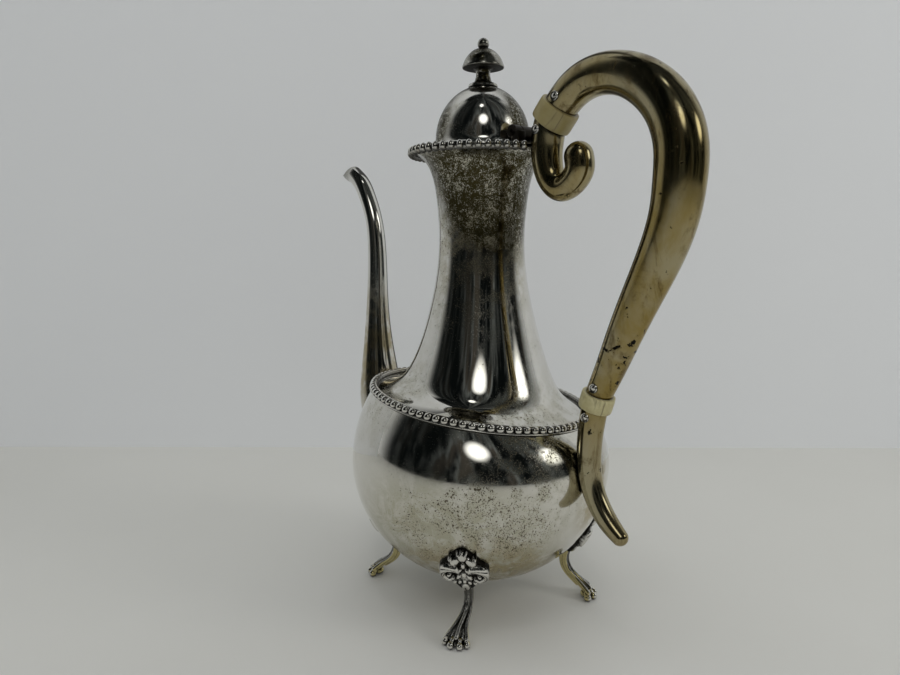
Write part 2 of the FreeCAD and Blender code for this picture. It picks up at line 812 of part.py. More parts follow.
def check_parts(parts):
    """Stop before anything is written if a feature failed or a piece has no sound solid."""
    failed = [item.Name for item in doc.Objects if {"Invalid", "Error"} & set(item.State)]
    for part in parts:
        if part.Shape.isNull() or not part.Shape.isValid() or not part.Shape.Solids:
            failed.append(part.Label)
    if failed:
        raise RuntimeError(f"these objects failed: {failed}")


def write_parts(parts):
    os.makedirs("parts", exist_ok=True)
    for part in parts:
        part.Shape.exportStep(f"parts/{part.Label}.step")
        print(f"{part.Label}: {len(part.Shape.Solids)} solid(s), {part.Shape.Volume:.1f} mm3")


parts = make_parts()
doc.recompute()
check_parts(parts)
write_parts(parts)
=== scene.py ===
import random
from math import acos, asin, atan2, cos, pi, radians, remainder, sin, sqrt, tau

import bmesh
import bpy
import numpy as np
from mathutils import Matrix, Vector


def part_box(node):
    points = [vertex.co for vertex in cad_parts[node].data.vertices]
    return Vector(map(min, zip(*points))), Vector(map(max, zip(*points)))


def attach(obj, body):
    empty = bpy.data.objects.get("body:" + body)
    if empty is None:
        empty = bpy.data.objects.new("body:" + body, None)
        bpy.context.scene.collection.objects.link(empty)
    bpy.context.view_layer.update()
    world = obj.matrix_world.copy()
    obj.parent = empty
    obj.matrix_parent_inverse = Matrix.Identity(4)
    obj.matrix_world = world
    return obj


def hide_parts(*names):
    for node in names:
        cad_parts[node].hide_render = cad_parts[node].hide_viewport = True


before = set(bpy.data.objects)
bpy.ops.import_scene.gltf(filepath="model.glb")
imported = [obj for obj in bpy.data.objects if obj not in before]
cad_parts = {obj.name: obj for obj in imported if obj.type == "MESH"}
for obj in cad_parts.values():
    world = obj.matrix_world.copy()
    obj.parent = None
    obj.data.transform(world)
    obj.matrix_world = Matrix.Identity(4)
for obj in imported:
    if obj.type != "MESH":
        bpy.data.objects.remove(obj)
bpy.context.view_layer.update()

# Silver coffee pot. Shapes are worked out in millimetres in the frame of the CAD model:
# handle along +X, spout along -X, the table at height 0.

MM = 0.001
SEGMENTS = 160


def node_box(name):
    """A CAD node's lowest and highest corners in millimetres."""
    low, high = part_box(name)
    return np.array(low) / MM, np.array(high) / MM


# ---- sizes ----

BALL_RADIUS = node_box("bowl")[1][1]
BOWL_BASE = node_box("bowl")[0][2]
EQUATOR = 57.5
BALL_DROP = 48.5
BASE_ANGLE = asin((EQUATOR - BOWL_BASE) / BALL_DROP)
WALL = 1.0

BORDER_RADIUS = 43.5
BORDER_HEIGHT = 82.2
BORDER_TILT = radians(7.15)
BORDER_BEARING = radians(215)
TIP_AXIS = (sin(BORDER_BEARING), -cos(BORDER_BEARING), 0)
BORDER_SINK = 0.4
BEAD_RADIUS = 1.5
SHOULDER_BEADS = 84

MOUTH_HEIGHT = node_box("neck")[1][2]
SEAT_TOP = node_box("lid_seat_ring")[1][2]
SEAT_RADIUS = node_box("lid_seat_ring")[1][1]
SEAT_OPENING = 21.0
RIM_RADIUS = node_box("rim_bead_border")[1][1] - BEAD_RADIUS
RIM_HEIGHT = node_box("rim_bead_border")[1][2] - BEAD_RADIUS
RIM_BEADS = 52
RIM_BEADS_MISSING = 3

SPOUT_ROOT_HEIGHT = 50.5
SPOUT_TIP = -node_box("spout")[0][0]

UPPER_COLLAR = {"x": 35.6, "z": 189.3, "lean": radians(40), "radius": 7.5, "length": 7.5}
LOWER_COLLAR = {"x": 56.7, "z": 90.6, "lean": radians(17), "radius": 5.95, "length": 6.0}
ARCH_REACH = 83.7
ARCH_HEIGHT = 199.4
GRIP_RADIUS = 8.1
UPPER_SOCKET_RADIUS = 6.0
LOWER_SOCKET_RADIUS = 4.65
TENON_LENGTH = 5.5

DOME_RADIUS = 18.2
DOME_RISE = 20.4
DOME_HEIGHT = 184.0
FLANGE_RADIUS = node_box("lid_dome")[1][1]
FLANGE_CHORD = node_box("lid_dome")[1][0]
FLANGE_HEIGHT = node_box("lid_dome")[0][2]
SHEET = 0.8
DOME_END = radians(74)
DOME_TOP = DOME_HEIGHT + DOME_RISE * sin(DOME_END)
FINIAL_TOP = node_box("lid_finial")[1][2]
FINIAL_BUTTON = 2.2

HINGE_X = 22.0
HINGE_Z = 184.6
KNUCKLE_RADIUS = 2.3
HINGE_WIDTH = 16.0
LID_KNUCKLE_WIDTH = 7.6
KNUCKLE_GAP = 0.2

LEG_BEARINGS = {
    "leg_back_handle": 36,
    "leg_back_spout": 126,
    "leg_front_spout": 216,
    "leg_front_handle": 306,
}
FOOT_REACH = 45.5


# ---- curves ----


def spline(points, count):
    """A natural cubic curve through rows of numbers, at count places evenly spread along it.

    The first two numbers of a row are its place, which sets the spacing.
    """
    points = np.array(points, float)
    gaps = np.linalg.norm(np.diff(points[:, :2], axis=0), axis=1)
    knots = np.concatenate([[0], np.cumsum(gaps)])
    matrix = np.eye(len(points))
    pull = np.zeros_like(points)
    for i in range(1, len(points) - 1):
        matrix[i, i - 1 : i + 2] = gaps[i - 1], 2 * (gaps[i - 1] + gaps[i]), gaps[i]
        slope_after = (points[i + 1] - points[i]) / gaps[i]
        slope_before = (points[i] - points[i - 1]) / gaps[i - 1]
        pull[i] = 6 * (slope_after - slope_before)
    bend = np.linalg.solve(matrix, pull)
    places = np.linspace(0, knots[-1], count)
    left = np.clip(np.searchsorted(knots, places) - 1, 0, len(points) - 2)
    gap = gaps[left][:, None]
    after = (places - knots[left])[:, None] / gap
    before = 1 - after
    straight = before * points[left] + after * points[left + 1]
    curve = (before**3 - before) * bend[left] + (after**3 - after) * bend[left + 1]
    return straight + curve * gap**2 / 6


def turn_about(points, axis, angle):
    """Points turned about an axis through the origin."""
    turn = np.array(Matrix.Rotation(angle, 3, Vector(axis)))
    return np.asarray(points) @ turn.T


def round_angles(segments):
    """The angles of a circle's points."""
    return np.linspace(0, 2 * pi, segments, endpoint=False)


def level_ring(radius, height, tilt=0.0, segments=SEGMENTS):
    """A circle round the pot's axis, tipped up towards the shoulder border's bearing."""
    angles = round_angles(segments)
    ring = np.stack([np.cos(angles), np.sin(angles), np.zeros(segments)], axis=1) * radius
    return turn_about(ring, TIP_AXIS, tilt) + (0, 0, height)


def tube_ring(centre, lean, radius, segments):
    """A circle square to a direction that leans from the vertical towards +X."""
    angles = round_angles(segments)
    across = (cos(lean), 0, -sin(lean))
    ring = np.outer(np.cos(angles), across) + np.outer(np.sin(angles), (0, 1, 0))
    return ring * radius + (centre[0], 0, centre[1])


def tube_rings(stations, count, first_lean=None, last_lean=None, segments=48):
    """Rings along a curve of (x, z, radius) stations; the end rings may keep a given lean."""
    curve = spline(stations, count)
    step = np.gradient(curve[:, :2], axis=0)
    leans = np.unwrap(np.arctan2(step[:, 0], step[:, 1]))
    fade = np.exp(-np.arange(count) / 5)
    if first_lean is not None:
        leans += remainder(first_lean - leans[0], tau) * fade
    if last_lean is not None:
        leans += remainder(last_lean - leans[-1], tau) * fade[::-1]
    return [tube_ring(place[:2], lean, place[2], segments) for place, lean in zip(curve, leans)]


def round_end(rings, towards):
    """Rings that close a tube with a dome: they shrink while moving in a direction."""
    last = np.array(rings[-1])
    middle = last.mean(0)
    radius = np.linalg.norm(last[0] - middle)
    direction = towards / np.linalg.norm(towards)
    extra = []
    for angle in np.linspace(0, pi / 2, 11)[1:]:
        size = max(cos(angle), 0.02)
        extra.append(middle + (last - middle) * size + direction * radius * sin(angle))
    return list(rings) + extra


# ---- meshes ----


class Shape:
    """Vertices and faces gathered for one piece, in millimetres.

    Each vertex has a mark from 0 to 1 that a material may read: how black its ground is.
    """

    def __init__(self, points=(), faces=()):
        self.points = [list(point) for point in points]
        self.faces = [tuple(face) for face in faces]
        self.marks = [0.0] * len(self.points)

    def add_rings(self, rings, wrap=False, marks=None):
        """Skin closed rings of equal length; ends are capped, or the last ring joins the first."""
        start = len(self.points)
        count = len(rings[0])
        for ring in rings:
            self.points.extend(np.asarray(ring).tolist())
        self.marks.extend([0.0] * (count * len(rings)) if marks is None else np.ravel(marks).tolist())
        joined = list(range(len(rings))) + ([0] if wrap else [])
        for low, high in zip(joined, joined[1:]):
            a, b = start + low * count, start + high * count
            for j in range(count):
                k = (j + 1) % count
                self.faces.append((a + j, a + k, b + k, b + j))
        if not wrap:
            self.add_fan(start, count)
            self.add_fan(start + (len(rings) - 1) * count, count)
        return self

    def add_fan(self, first, count):
        """Close a ring of vertices with triangles to its middle."""
        middle = len(self.points)
        self.points.append(np.mean(self.points[first : first + count], axis=0).tolist())
        self.marks.append(self.marks[first])
        for j in range(count):
            self.faces.append((first + j, first + (j + 1) % count, middle))

    def add_shape(self, other, move=None):
        """Copy another shape in, with its points passed through a function."""
        start = len(self.points)
        points = np.array(other.points)
        self.points.extend((move(points) if move else points).tolist())
        self.faces.extend(tuple(start + i for i in face) for face in other.faces)
        self.marks.extend(other.marks)
        return self


def turned(profile, segments=SEGMENTS):
    """Rings about the pot's axis from (radius, height) rows."""
    return [level_ring(radius, height, 0, segments) for radius, height in profile]


def bar(radius, low, high, ease, inner=0.03):
    """Rows of a turned bar between two heights, with eased edges and perhaps a bore."""
    side = [(radius - ease, low), (radius, low + ease), (radius, high - ease), (radius - ease, high)]
    return [(inner, low), *side, (inner, high)]


def ellipsoid(centre, radii, rings=12, segments=20):
    """A closed egg shape about a centre, with radii along X, Y and Z."""
    angles = np.linspace(-pi / 2, pi / 2, rings + 1)[1:-1]
    ball = [level_ring(cos(angle), sin(angle), 0, segments) for angle in angles]
    return Shape().add_rings([ring * radii + centre for ring in ball])


def along_y(profile, x, z, segments=40):
    """Rings about an axis along Y from (radius, y) rows."""
    angles = round_angles(segments)
    circle = np.stack([np.cos(angles), np.zeros(segments), np.sin(angles)], axis=1)
    return [circle * radius + (x, y, z) for radius, y in profile]


def block(low, high):
    """A box with eased edges."""
    low, high = np.array(low, float), np.array(high, float)
    bm = bmesh.new()
    bmesh.ops.create_cube(bm, size=1)
    for vertex in bm.verts:
        vertex.co = Vector((np.array(vertex.co) + 0.5) * (high - low) + low)
    bmesh.ops.bevel(bm, geom=bm.edges[:], offset=0.25, segments=3, profile=0.5, affect="EDGES")
    bm.verts.index_update()
    faces = [[vertex.index for vertex in face.verts] for face in bm.faces]
    shape = Shape([vertex.co for vertex in bm.verts], faces)
    bm.free()
    return shape


def link_object(name, data):
    """A new object in the scene."""
    made = bpy.data.objects.new(name, data)
    bpy.context.scene.collection.objects.link(made)
    return made


def build_mesh(name, shape):
    """A Blender mesh in metres, with its faces turned outwards."""
    mesh = bpy.data.meshes.new(name)
    mesh.from_pydata((np.array(shape.points) * MM).tolist(), [], shape.faces)
    bm = bmesh.new()
    bm.from_mesh(mesh)
    bmesh.ops.recalc_face_normals(bm, faces=bm.faces)
    bm.to_mesh(mesh)
    bm.free()
    mesh.attributes.new("blackened", "FLOAT", "POINT").data.foreach_set("value", shape.marks)
    return mesh


def make_piece(name, shape, material, body, replaced, sharp=35):
    """Turn a shape into a smooth-shaded piece that rides on a CAD body."""
    mesh = build_mesh(name, shape)
    piece = link_object(name, mesh)
    mesh.shade_smooth()
    mesh.set_sharp_from_angle(angle=radians(sharp))
    mesh.materials.append(material)
    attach(piece, body)
    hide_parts(replaced)


def melt(shape, voxel, rounds):
    """Fuse overlapping closed shapes into one soft casting of even small faces."""
    lump = link_object("melting", build_mesh("melting", shape))
    remesh = lump.modifiers.new("remesh", "REMESH")
    remesh.mode = "VOXEL"
    remesh.voxel_size = voxel * MM
    smooth = lump.modifiers.new("smooth", "SMOOTH")
    smooth.factor = 0.5
    smooth.iterations = rounds
    settled = lump.evaluated_get(bpy.context.evaluated_depsgraph_get())
    result = bpy.data.meshes.new_from_object(settled)
    points = [vertex.co / MM for vertex in result.vertices]
    melted = Shape(points, [face.vertices for face in result.polygons])
    bpy.data.objects.remove(lump)
    bpy.data.meshes.remove(result)
    return melted


# ---- node helpers ----


class Graph:
    """Short calls for building one node tree."""

    def __init__(self, tree):
        self.tree = tree
        tree.nodes.clear()

    def add(self, kind, inputs=None, **settings):
        made = self.tree.nodes.new(kind)
        for key, value in settings.items():
            setattr(made, key, value)
        for key, value in (inputs or {}).items():
            if isinstance(value, bpy.types.NodeSocket):
                self.tree.links.new(value, made.inputs[key])
            else:
                made.inputs[key].default_value = value
        return made

    def maths(self, operation, *values):
        return self.add("ShaderNodeMath", dict(enumerate(values)), operation=operation).outputs[0]

    def times(self, first, second):
        return self.maths("MULTIPLY", first, second)

    def most(self, first, second):
        return self.maths("MAXIMUM", first, second)

    def scale_add(self, value, scale, base):
        """The base plus a scaled value."""
        return self.maths("MULTIPLY_ADD", value, scale, base)

    def total(self, base, *parts):
        """The base plus every (value, scale) part."""
        for value, scale in parts:
            base = self.scale_add(value, scale, base)
        return base

    def vectors(self, operation, *values):
        return self.add("ShaderNodeVectorMath", dict(enumerate(values)), operation=operation)

    def dot(self, first, second):
        return self.vectors("DOT_PRODUCT", first, second).outputs["Value"]

    def height_of(self, vector):
        return self.add("ShaderNodeSeparateXYZ", {0: vector}).outputs["Z"]

    def stretched(self, place, scale):
        return self.add("ShaderNodeMapping", {"Vector": place, "Scale": scale}).outputs[0]

    def spread(self, value, low, high, to_low=0.0, to_high=1.0):
        """A smooth step of value from one range to another."""
        inputs = {"Value": value, "From Min": low, "From Max": high, "To Min": to_low, "To Max": to_high}
        return self.add("ShaderNodeMapRange", inputs, interpolation_type="SMOOTHSTEP").outputs["Result"]

    def mix(self, share, first, second):
        return self.add("ShaderNodeMix", {0: share, 6: first, 7: second}, data_type="RGBA").outputs[2]

    def paint(self, colour, *layers):
        """The colour under every (share, colour) layer in turn."""
        for share, layer in layers:
            colour = self.mix(share, colour, layer)
        return colour

    def noise(self, place, scale, detail, rough, twist=0.0):
        inputs = {0: place, "Scale": scale, "Detail": detail, "Roughness": rough, "Distortion": twist}
        return self.add("ShaderNodeTexNoise", inputs).outputs["Fac"]

    def crevice(self, reach, low=0.45, high=0.85):
        """1 deep in a gap narrower than reach millimetres, 0 on open surfaces."""
        inputs = {"Distance": reach * MM}
        open_share = self.add("ShaderNodeAmbientOcclusion", inputs, samples=6).outputs["AO"]
        return self.spread(open_share, low, high, 1.0, 0.0)

    def near(self, place, centre, radius, fade):
        """1 close to a point in millimetres, falling to 0 over the fade distance."""
        point = tuple(value * MM for value in centre)
        gap = self.vectors("DISTANCE", place, point).outputs["Value"]
        return self.spread(gap, radius * MM, (radius + fade) * MM, 1.0, 0.0)


def rgb(red, green, blue):
    return (red, green, blue, 1.0)


def new_material(name):
    """An empty material: its graph, which knows the material, and the place on the object."""
    material = bpy.data.materials.new(name)
    material.use_nodes = True
    graph = Graph(material.node_tree)
    graph.material = material
    return graph, graph.add("ShaderNodeTexCoord").outputs["Object"]


def finish_material(graph, colour, metallic, roughness, relief, strength=0.6, depth=MM):
    """Close a material's graph; relief is the bump's height in units of depth."""
    bump = graph.add("ShaderNodeBump", {"Height": relief, "Strength": strength, "Distance": depth})
    shader = graph.add("ShaderNodeBsdfPrincipled", {
        "Base Color": colour,
        "Metallic": metallic,
        "Roughness": roughness,
        "Normal": bump.outputs["Normal"],
    })
    graph.add("ShaderNodeOutputMaterial", {"Surface": shader.outputs["BSDF"]})
    return graph.material


# ---- materials ----

SILVER = rgb(0.76, 0.745, 0.70)
DULL_SILVER = rgb(0.50, 0.485, 0.385)
# Gold for tarnished patches, also used as painted warm reflection of the table.
GOLD_TARNISH_AND_REFLECTION = rgb(0.36, 0.285, 0.13)
OLIVE_TARNISH = rgb(0.045, 0.038, 0.014)
BROWN_TARNISH = rgb(0.09, 0.065, 0.032)
# The darkest colour: oxide in hollows and pits, and painted shade on faces that look downwards.
BLACK_TARNISH_AND_SHADE = rgb(0.010, 0.009, 0.007)


def patches(graph, place, spots, ragged):
    """The strongest of several (centre, radius, fade, strength) patches, with torn edges."""
    covered = 0.0
    for centre, radius, fade, strength in spots:
        patch = graph.times(graph.near(place, centre, radius, fade), ragged)
        covered = graph.scale_add(patch, strength, covered)
    return graph.maths("MINIMUM", covered, 1.0)


def silver(name, pepper=0.5, gold=0.1, haze=0.04, wave=1.0, gaps=0.0,
           gold_tarnish_and_reflection_spots=(), pepper_spots=(), dull_spots=(), dark_spots=()):
    """Old polished silver: soft hammer waves, hairlines, dull patches, pepper specks and tarnished
    colours; some of the gold is painted warm reflection, on the spout and low on the ball.

    The spots are (centre, radius, fade, strength) patches in millimetres; gaps is the width of
    the hollows that have gone black, and with gaps the faces that look downwards also get painted shade.
    """
    graph, place = new_material(name)
    cloud = graph.noise(place, 34, 4, 0.6, 0.4)
    blotch = graph.noise(place, 150, 6, 0.68)
    torn = graph.spread(blotch, 0.34, 0.56)
    # The gold cloud and gold patches: tarnished colour, and on the spout and low on the ball also painted
    # warm reflection of the table.
    gold_tarnish_and_reflection_cloud = graph.spread(cloud, 0.50, 0.76, 0, gold)
    gold_tarnish_and_reflection = graph.most(gold_tarnish_and_reflection_cloud, patches(graph, place, gold_tarnish_and_reflection_spots, torn))
    peppered = graph.spread(graph.noise(place, 52, 6, 0.72), 0.45, 0.66, 0, pepper)
    clusters = graph.most(peppered, patches(graph, place, pepper_spots, torn))
    dark = patches(graph, place, dark_spots, graph.spread(blotch, 0.22, 0.46, 0.35, 1.0))
    fine = graph.noise(place, 2300, 2, 0.55)
    coarse = graph.noise(place, 1050, 2, 0.5)
    dots = graph.most(fine, graph.maths("SUBTRACT", coarse, 0.035))
    threshold = graph.scale_add(clusters, -0.165, 0.735)
    specks = graph.spread(graph.maths("SUBTRACT", dots, threshold), 0.0, 0.05)
    uneven = graph.times(graph.noise(place, 2500, 3, 0.65), 0.75)
    uneven = graph.total(uneven, (blotch, 0.5), (graph.noise(place, 620, 4, 0.6), 0.4))
    open_dots = graph.spread(uneven, 0.96, 0.83, 0.08, 1.0)
    film = graph.times(dark, open_dots)
    dull = graph.times(clusters, graph.spread(blotch, 0.3, 0.7, 0.35, 0.85))
    brushed = graph.spread(graph.noise(place, 90, 6, 0.75, 1.2), 0.34, 0.60, 0.25, 1.0)
    dull = graph.most(dull, patches(graph, place, dull_spots, brushed))
    brown = (graph.times(specks, 0.85), BROWN_TARNISH)
    olive = (film, OLIVE_TARNISH)
    colour = graph.paint(SILVER, (dull, DULL_SILVER), (gold_tarnish_and_reflection, GOLD_TARNISH_AND_REFLECTION), brown, olive)
    mottled = graph.spread(blotch, 0.35, 0.75)
    rough = graph.total(haze, (mottled, 0.04), (specks, 0.3), (dull, 0.2), (gold_tarnish_and_reflection, 0.12), (film, 0.12))
    if gaps:
        facing = graph.add("ShaderNodeNewGeometry").outputs["Normal"]
        upward = graph.height_of(facing)
        # Black oxide in the hollows, and painted shade on the faces that look downwards.
        black = graph.most(graph.crevice(gaps), graph.spread(upward, -0.05, -0.55, 0, 0.85))
        colour = graph.mix(black, colour, BLACK_TARNISH_AND_SHADE)
        rough = graph.scale_add(black, 0.3, rough)
    long_place = graph.stretched(place, (1, 1, 0.06))
    hairline = graph.noise(long_place, 2600, 2, 0.5)
    ripple = graph.noise(place, 48, 1, 0.4)
    height = graph.total(graph.times(ripple, 0.11 * wave), (hairline, 0.0022), (specks, -0.010))
    return finish_material(graph, colour, 1.0, rough, height)


def cast_silver():
    """Cast feet: bright tops, black oxide in every hollow, a darker shank, and painted warm reflection on the
    lower leg's sides and back.
    """
    graph, place = new_material("cast_silver")
    geometry = graph.add("ShaderNodeNewGeometry")
    sharpness = geometry.outputs["Pointiness"]
    ground = graph.add("ShaderNodeAttribute", attribute_name="blackened").outputs["Fac"]
    hollow = graph.most(graph.spread(sharpness, 0.470, 0.500, 1, 0), graph.crevice(1.6, 0.55, 0.9))
    grime = graph.spread(graph.noise(place, 420, 4, 0.65), 0.52, 0.7, 0, 0.3)
    height = graph.height_of(place)
    low_shank = graph.spread(height, 3.0 * MM, 6.0 * MM)
    high_shank = graph.spread(height, 27.0 * MM, 22.0 * MM)
    ridge = graph.spread(sharpness, 0.510, 0.524)
    # The shank is darker between about 3 and 27 mm high, except on its ridges and where the warm reflection
    # is painted.
    shank_darkening = graph.times(graph.times(low_shank, high_shank), 0.88)
    shank_darkening = graph.times(shank_darkening, graph.maths("SUBTRACT", 1.0, ridge))
    level = graph.vectors("MULTIPLY", place, (1, 1, 0)).outputs[0]
    outward = graph.vectors("NORMALIZE", level).outputs[0]
    facing = graph.dot(outward, geometry.outputs["Normal"])
    # Painted warm reflection: below about 20 mm, faces that turn away from outwards are painted yellow.
    under = graph.times(graph.spread(facing, 0.5, 0.1), graph.spread(height, 22 * MM, 18 * MM))
    dark = graph.times(shank_darkening, graph.maths("SUBTRACT", 1.0, under))
    for share in (ground, hollow, grime):
        dark = graph.most(dark, share)
    colour = graph.paint(SILVER, (graph.times(under, 0.9), rgb(0.68, 0.59, 0.27)), (dark, BLACK_TARNISH_AND_SHADE))
    rough = graph.scale_add(dark, 0.25, 0.10)
    relief = graph.times(graph.noise(place, 900, 3, 0.6), 0.02)
    return finish_material(graph, colour, 1.0, rough, relief, 0.7)


def handle_silver(name):
    """Handle and sockets: a warm yellowed film with brown stains and dark pits."""
    graph, place = new_material(name)
    long_place = graph.stretched(place, (1, 1, 0.45))
    height = graph.height_of(place)
    from_middle = graph.maths("ABSOLUTE", graph.maths("SUBTRACT", height, 125 * MM))
    yellowed = graph.spread(from_middle, 25 * MM, 60 * MM, 1.0, 0.62)
    film = graph.spread(graph.noise(long_place, 48, 5, 0.6, 0.6), 0.34, 0.62, 0.3, 1.0)
    film = graph.times(film, yellowed)
    stain = graph.spread(graph.noise(long_place, 120, 6, 0.75, 0.9), 0.50, 0.66, 0, 0.85)
    spotted = graph.near(place, (64, 0, 106), 8, 22)
    pit_edge = graph.scale_add(spotted, -0.06, 0.66)
    pit = graph.spread(graph.maths("SUBTRACT", graph.noise(place, 330, 4, 0.65), pit_edge), 0.0, 0.03)
    colour = graph.mix(film, rgb(0.42, 0.385, 0.265), rgb(0.28, 0.205, 0.06))
    colour = graph.paint(colour, (stain, rgb(0.13, 0.09, 0.035)), (pit, BLACK_TARNISH_AND_SHADE))
    colour = graph.mix(graph.crevice(1.2), colour, BLACK_TARNISH_AND_SHADE)
    rough = graph.total(0.13, (stain, 0.20), (pit, 0.35))
    ripple = graph.noise(place, 60, 2, 0.5)
    hairline = graph.noise(long_place, 1900, 2, 0.5)
    relief = graph.total(graph.times(ripple, 0.14), (hairline, 0.004), (pit, -0.03))
    return finish_material(graph, colour, 1.0, rough, relief)


def ivory_collar():
    """Cream insulating collars with fine grain, brown cracks and dirt towards the joints."""
    graph, place = new_material("ivory_coloured_collar")
    grain = graph.stretched(place, (0.18, 2.2, 0.18))
    lines = graph.noise(grain, 190, 5, 0.6, 0.3)
    mottled = graph.noise(place, 180, 4, 0.6)
    colour = graph.mix(graph.spread(mottled, 0.3, 0.7), rgb(0.62, 0.57, 0.32), rgb(0.44, 0.385, 0.185))
    # Darker and browner with height, so the upper collar is darker than the lower one.
    darker_with_height = graph.spread(graph.height_of(place), 110 * MM, 170 * MM, 0, 0.75)
    cracked = graph.spread(lines, 0.57, 0.66, 0, 0.8)
    colour = graph.paint(colour, (darker_with_height, rgb(0.25, 0.195, 0.065)), (cracked, rgb(0.15, 0.11, 0.05)))
    colour = graph.mix(graph.crevice(2.0, 0.45, 0.9), colour, rgb(0.05, 0.035, 0.018))
    rough = graph.spread(mottled, 0.3, 0.7, 0.28, 0.42)
    cracks = graph.times(lines, -0.05)
    return finish_material(graph, colour, 0.0, rough, cracks, 0.5)


def dark_silver():
    """Hinge: silver left black where polish never reaches, worn bright on a few places."""
    graph, place = new_material("dark_silver")
    worn = graph.spread(graph.noise(place, 260, 5, 0.65), 0.58, 0.74)
    colour = graph.mix(worn, rgb(0.045, 0.04, 0.033), rgb(0.36, 0.32, 0.25))
    rough = graph.spread(worn, 0, 1, 0.42, 0.22)
    height = graph.times(graph.noise(place, 700, 3, 0.6), 0.04)
    return finish_material(graph, colour, 1.0, rough, height)


# ---- body: bowl and neck ----


def bowl_rings(inside=0.0):
    """From the base up to the equator, then tipping over towards the border."""
    radius, drop = BALL_RADIUS - inside, BALL_DROP - inside
    angles = np.linspace(BASE_ANGLE, 0, 60)
    rings = turned([(radius * cos(angle), EQUATOR - drop * sin(angle)) for angle in angles])
    top = acos(BORDER_RADIUS / BALL_RADIUS)
    rise = (BORDER_HEIGHT - EQUATOR) / sin(top)
    for part in np.linspace(0, 1, 31)[1:]:
        ring_radius = BALL_RADIUS * cos(part * top) - inside
        height = EQUATOR + rise * sin(part * top)
        rings.append(level_ring(ring_radius, height, BORDER_TILT * part**1.5))
    return rings


def make_bowl(material):
    """A thin ball with a flat base, open above."""
    outside = bowl_rings()
    hollow = bowl_rings(WALL)
    base = turned([(0.02, BOWL_BASE), (6, BOWL_BASE), (12, BOWL_BASE)])
    floor = turned([(0.02, BOWL_BASE + WALL), (6, BOWL_BASE + WALL)])
    shape = Shape().add_rings(base + outside + hollow[::-1] + floor[::-1])
    make_piece("bowl_shell", shape, material, "pot", "bowl")


def neck_profile():
    """Rows of radius, height and tilt from the border up to the mouth."""
    foot, waist, mouth = 29.0, 16.8, 26.0
    waist_height = 147.0
    lower, upper = waist_height - BORDER_HEIGHT, MOUTH_HEIGHT - waist_height
    rows = [(BORDER_RADIUS, BORDER_HEIGHT, BORDER_TILT)]
    for radius, part, tilt in (
        (foot * 1.31, 0.028, 0.92), (foot * 1.13, 0.080, 0.75), (foot, 0.168, 0.5),
        (foot * 0.86, 0.32, 0.2), (waist * 1.27, 0.51, 0), (waist * 1.12, 0.68, 0), (waist, 1, 0),
    ):
        rows.append((radius, BORDER_HEIGHT + lower * part, BORDER_TILT * tilt))
    for radius, part in (
        (waist * 1.025, 0.28), (mouth * 0.70, 0.55), (mouth * 0.76, 0.76), (mouth * 0.86, 0.91),
        (mouth, 1),
    ):
        rows.append((radius, waist_height + upper * part, 0))
    return spline(rows, 130)


def make_neck(material):
    """A thin flared trumpet between border and mouth."""
    profile = neck_profile()
    outside = [level_ring(*row) for row in profile]
    hollow = [level_ring(radius - WALL, height, tilt) for radius, height, tilt in profile]
    shape = Shape().add_rings(outside + hollow[::-1], wrap=True)
    make_piece("neck_shell", shape, material, "pot", "neck")


def make_seat(material):
    """The flat ring inside the rim that the lid rests on, with eased edges."""
    low, high = MOUTH_HEIGHT, SEAT_TOP
    ease = 0.3
    profile = [
        (SEAT_OPENING, low + ease), (SEAT_OPENING + ease, low), (SEAT_RADIUS - ease, low),
        (SEAT_RADIUS, low + ease), (SEAT_RADIUS, high - ease), (SEAT_RADIUS - ease, high),
        (SEAT_OPENING + ease, high), (SEAT_OPENING, high - ease),
    ]
    shape = Shape().add_rings(turned(profile), wrap=True)
    make_piece("mouth_seat", shape, material, "pot", "lid_seat_ring")


def bead_strip(radius, count, width, tall, missing=0, edged=False):
    """A close level row of cast beads on a wire, round the origin; edged adds two thin wires."""
    dice = random.Random(count)
    strip = Shape()
    pitch = 2 * pi / count
    first = pitch * (missing + 1) / 2
    for number in range(count - missing):
        angle = first + pitch * number
        size = BEAD_RADIUS * dice.uniform(0.96, 1.0)
        egg = ellipsoid((radius, 0, 0), (size, size * width, size * tall), 12, 18)
        strip.add_shape(egg, lambda points: turn_about(points, (0, 0, 1), angle))
    arc = np.linspace(first - pitch / 2, first + pitch * (count - missing - 0.5), 240)
    section = round_angles(14)
    wires = [(0.7, 0, 0.6, tall * 1.1)]
    if edged:
        wires += [(-0.95, -1.15, 0.4, 0.35), (1.0, 1.15, 0.4, 0.35)]
    for inward, lift, thick, high in wires:
        rings = []
        for angle in arc:
            outward = np.array([cos(angle), sin(angle), 0])
            across = radius - inward + thick * np.cos(section)
            rings.append(np.outer(across, outward) + np.outer(lift + high * np.sin(section), (0, 0, 1)))
        strip.add_rings(rings)
    return strip


def make_shoulder_border(material):
    """The tipped border where the ball meets the neck."""
    strip = bead_strip(BORDER_RADIUS + BORDER_SINK, SHOULDER_BEADS, 1.08, 1.08, edged=True)
    lift = np.array([0, 0, BORDER_HEIGHT + BORDER_SINK])
    shape = Shape().add_shape(strip, lambda points: turn_about(points, TIP_AXIS, BORDER_TILT) + lift)
    make_piece("shoulder_beads", shape, material, "pot", "shoulder_bead_border")


def make_rim_border(material):
    """The level border round the mouth, with a gap behind the hinge."""
    strip = bead_strip(RIM_RADIUS, RIM_BEADS, 0.86, 1.3, RIM_BEADS_MISSING)
    lift = np.array([0, 0, RIM_HEIGHT])
    shape = Shape().add_shape(strip, lambda points: points + lift)
    make_piece("rim_beads", shape, material, "pot", "rim_bead_border")


# ---- spout ----


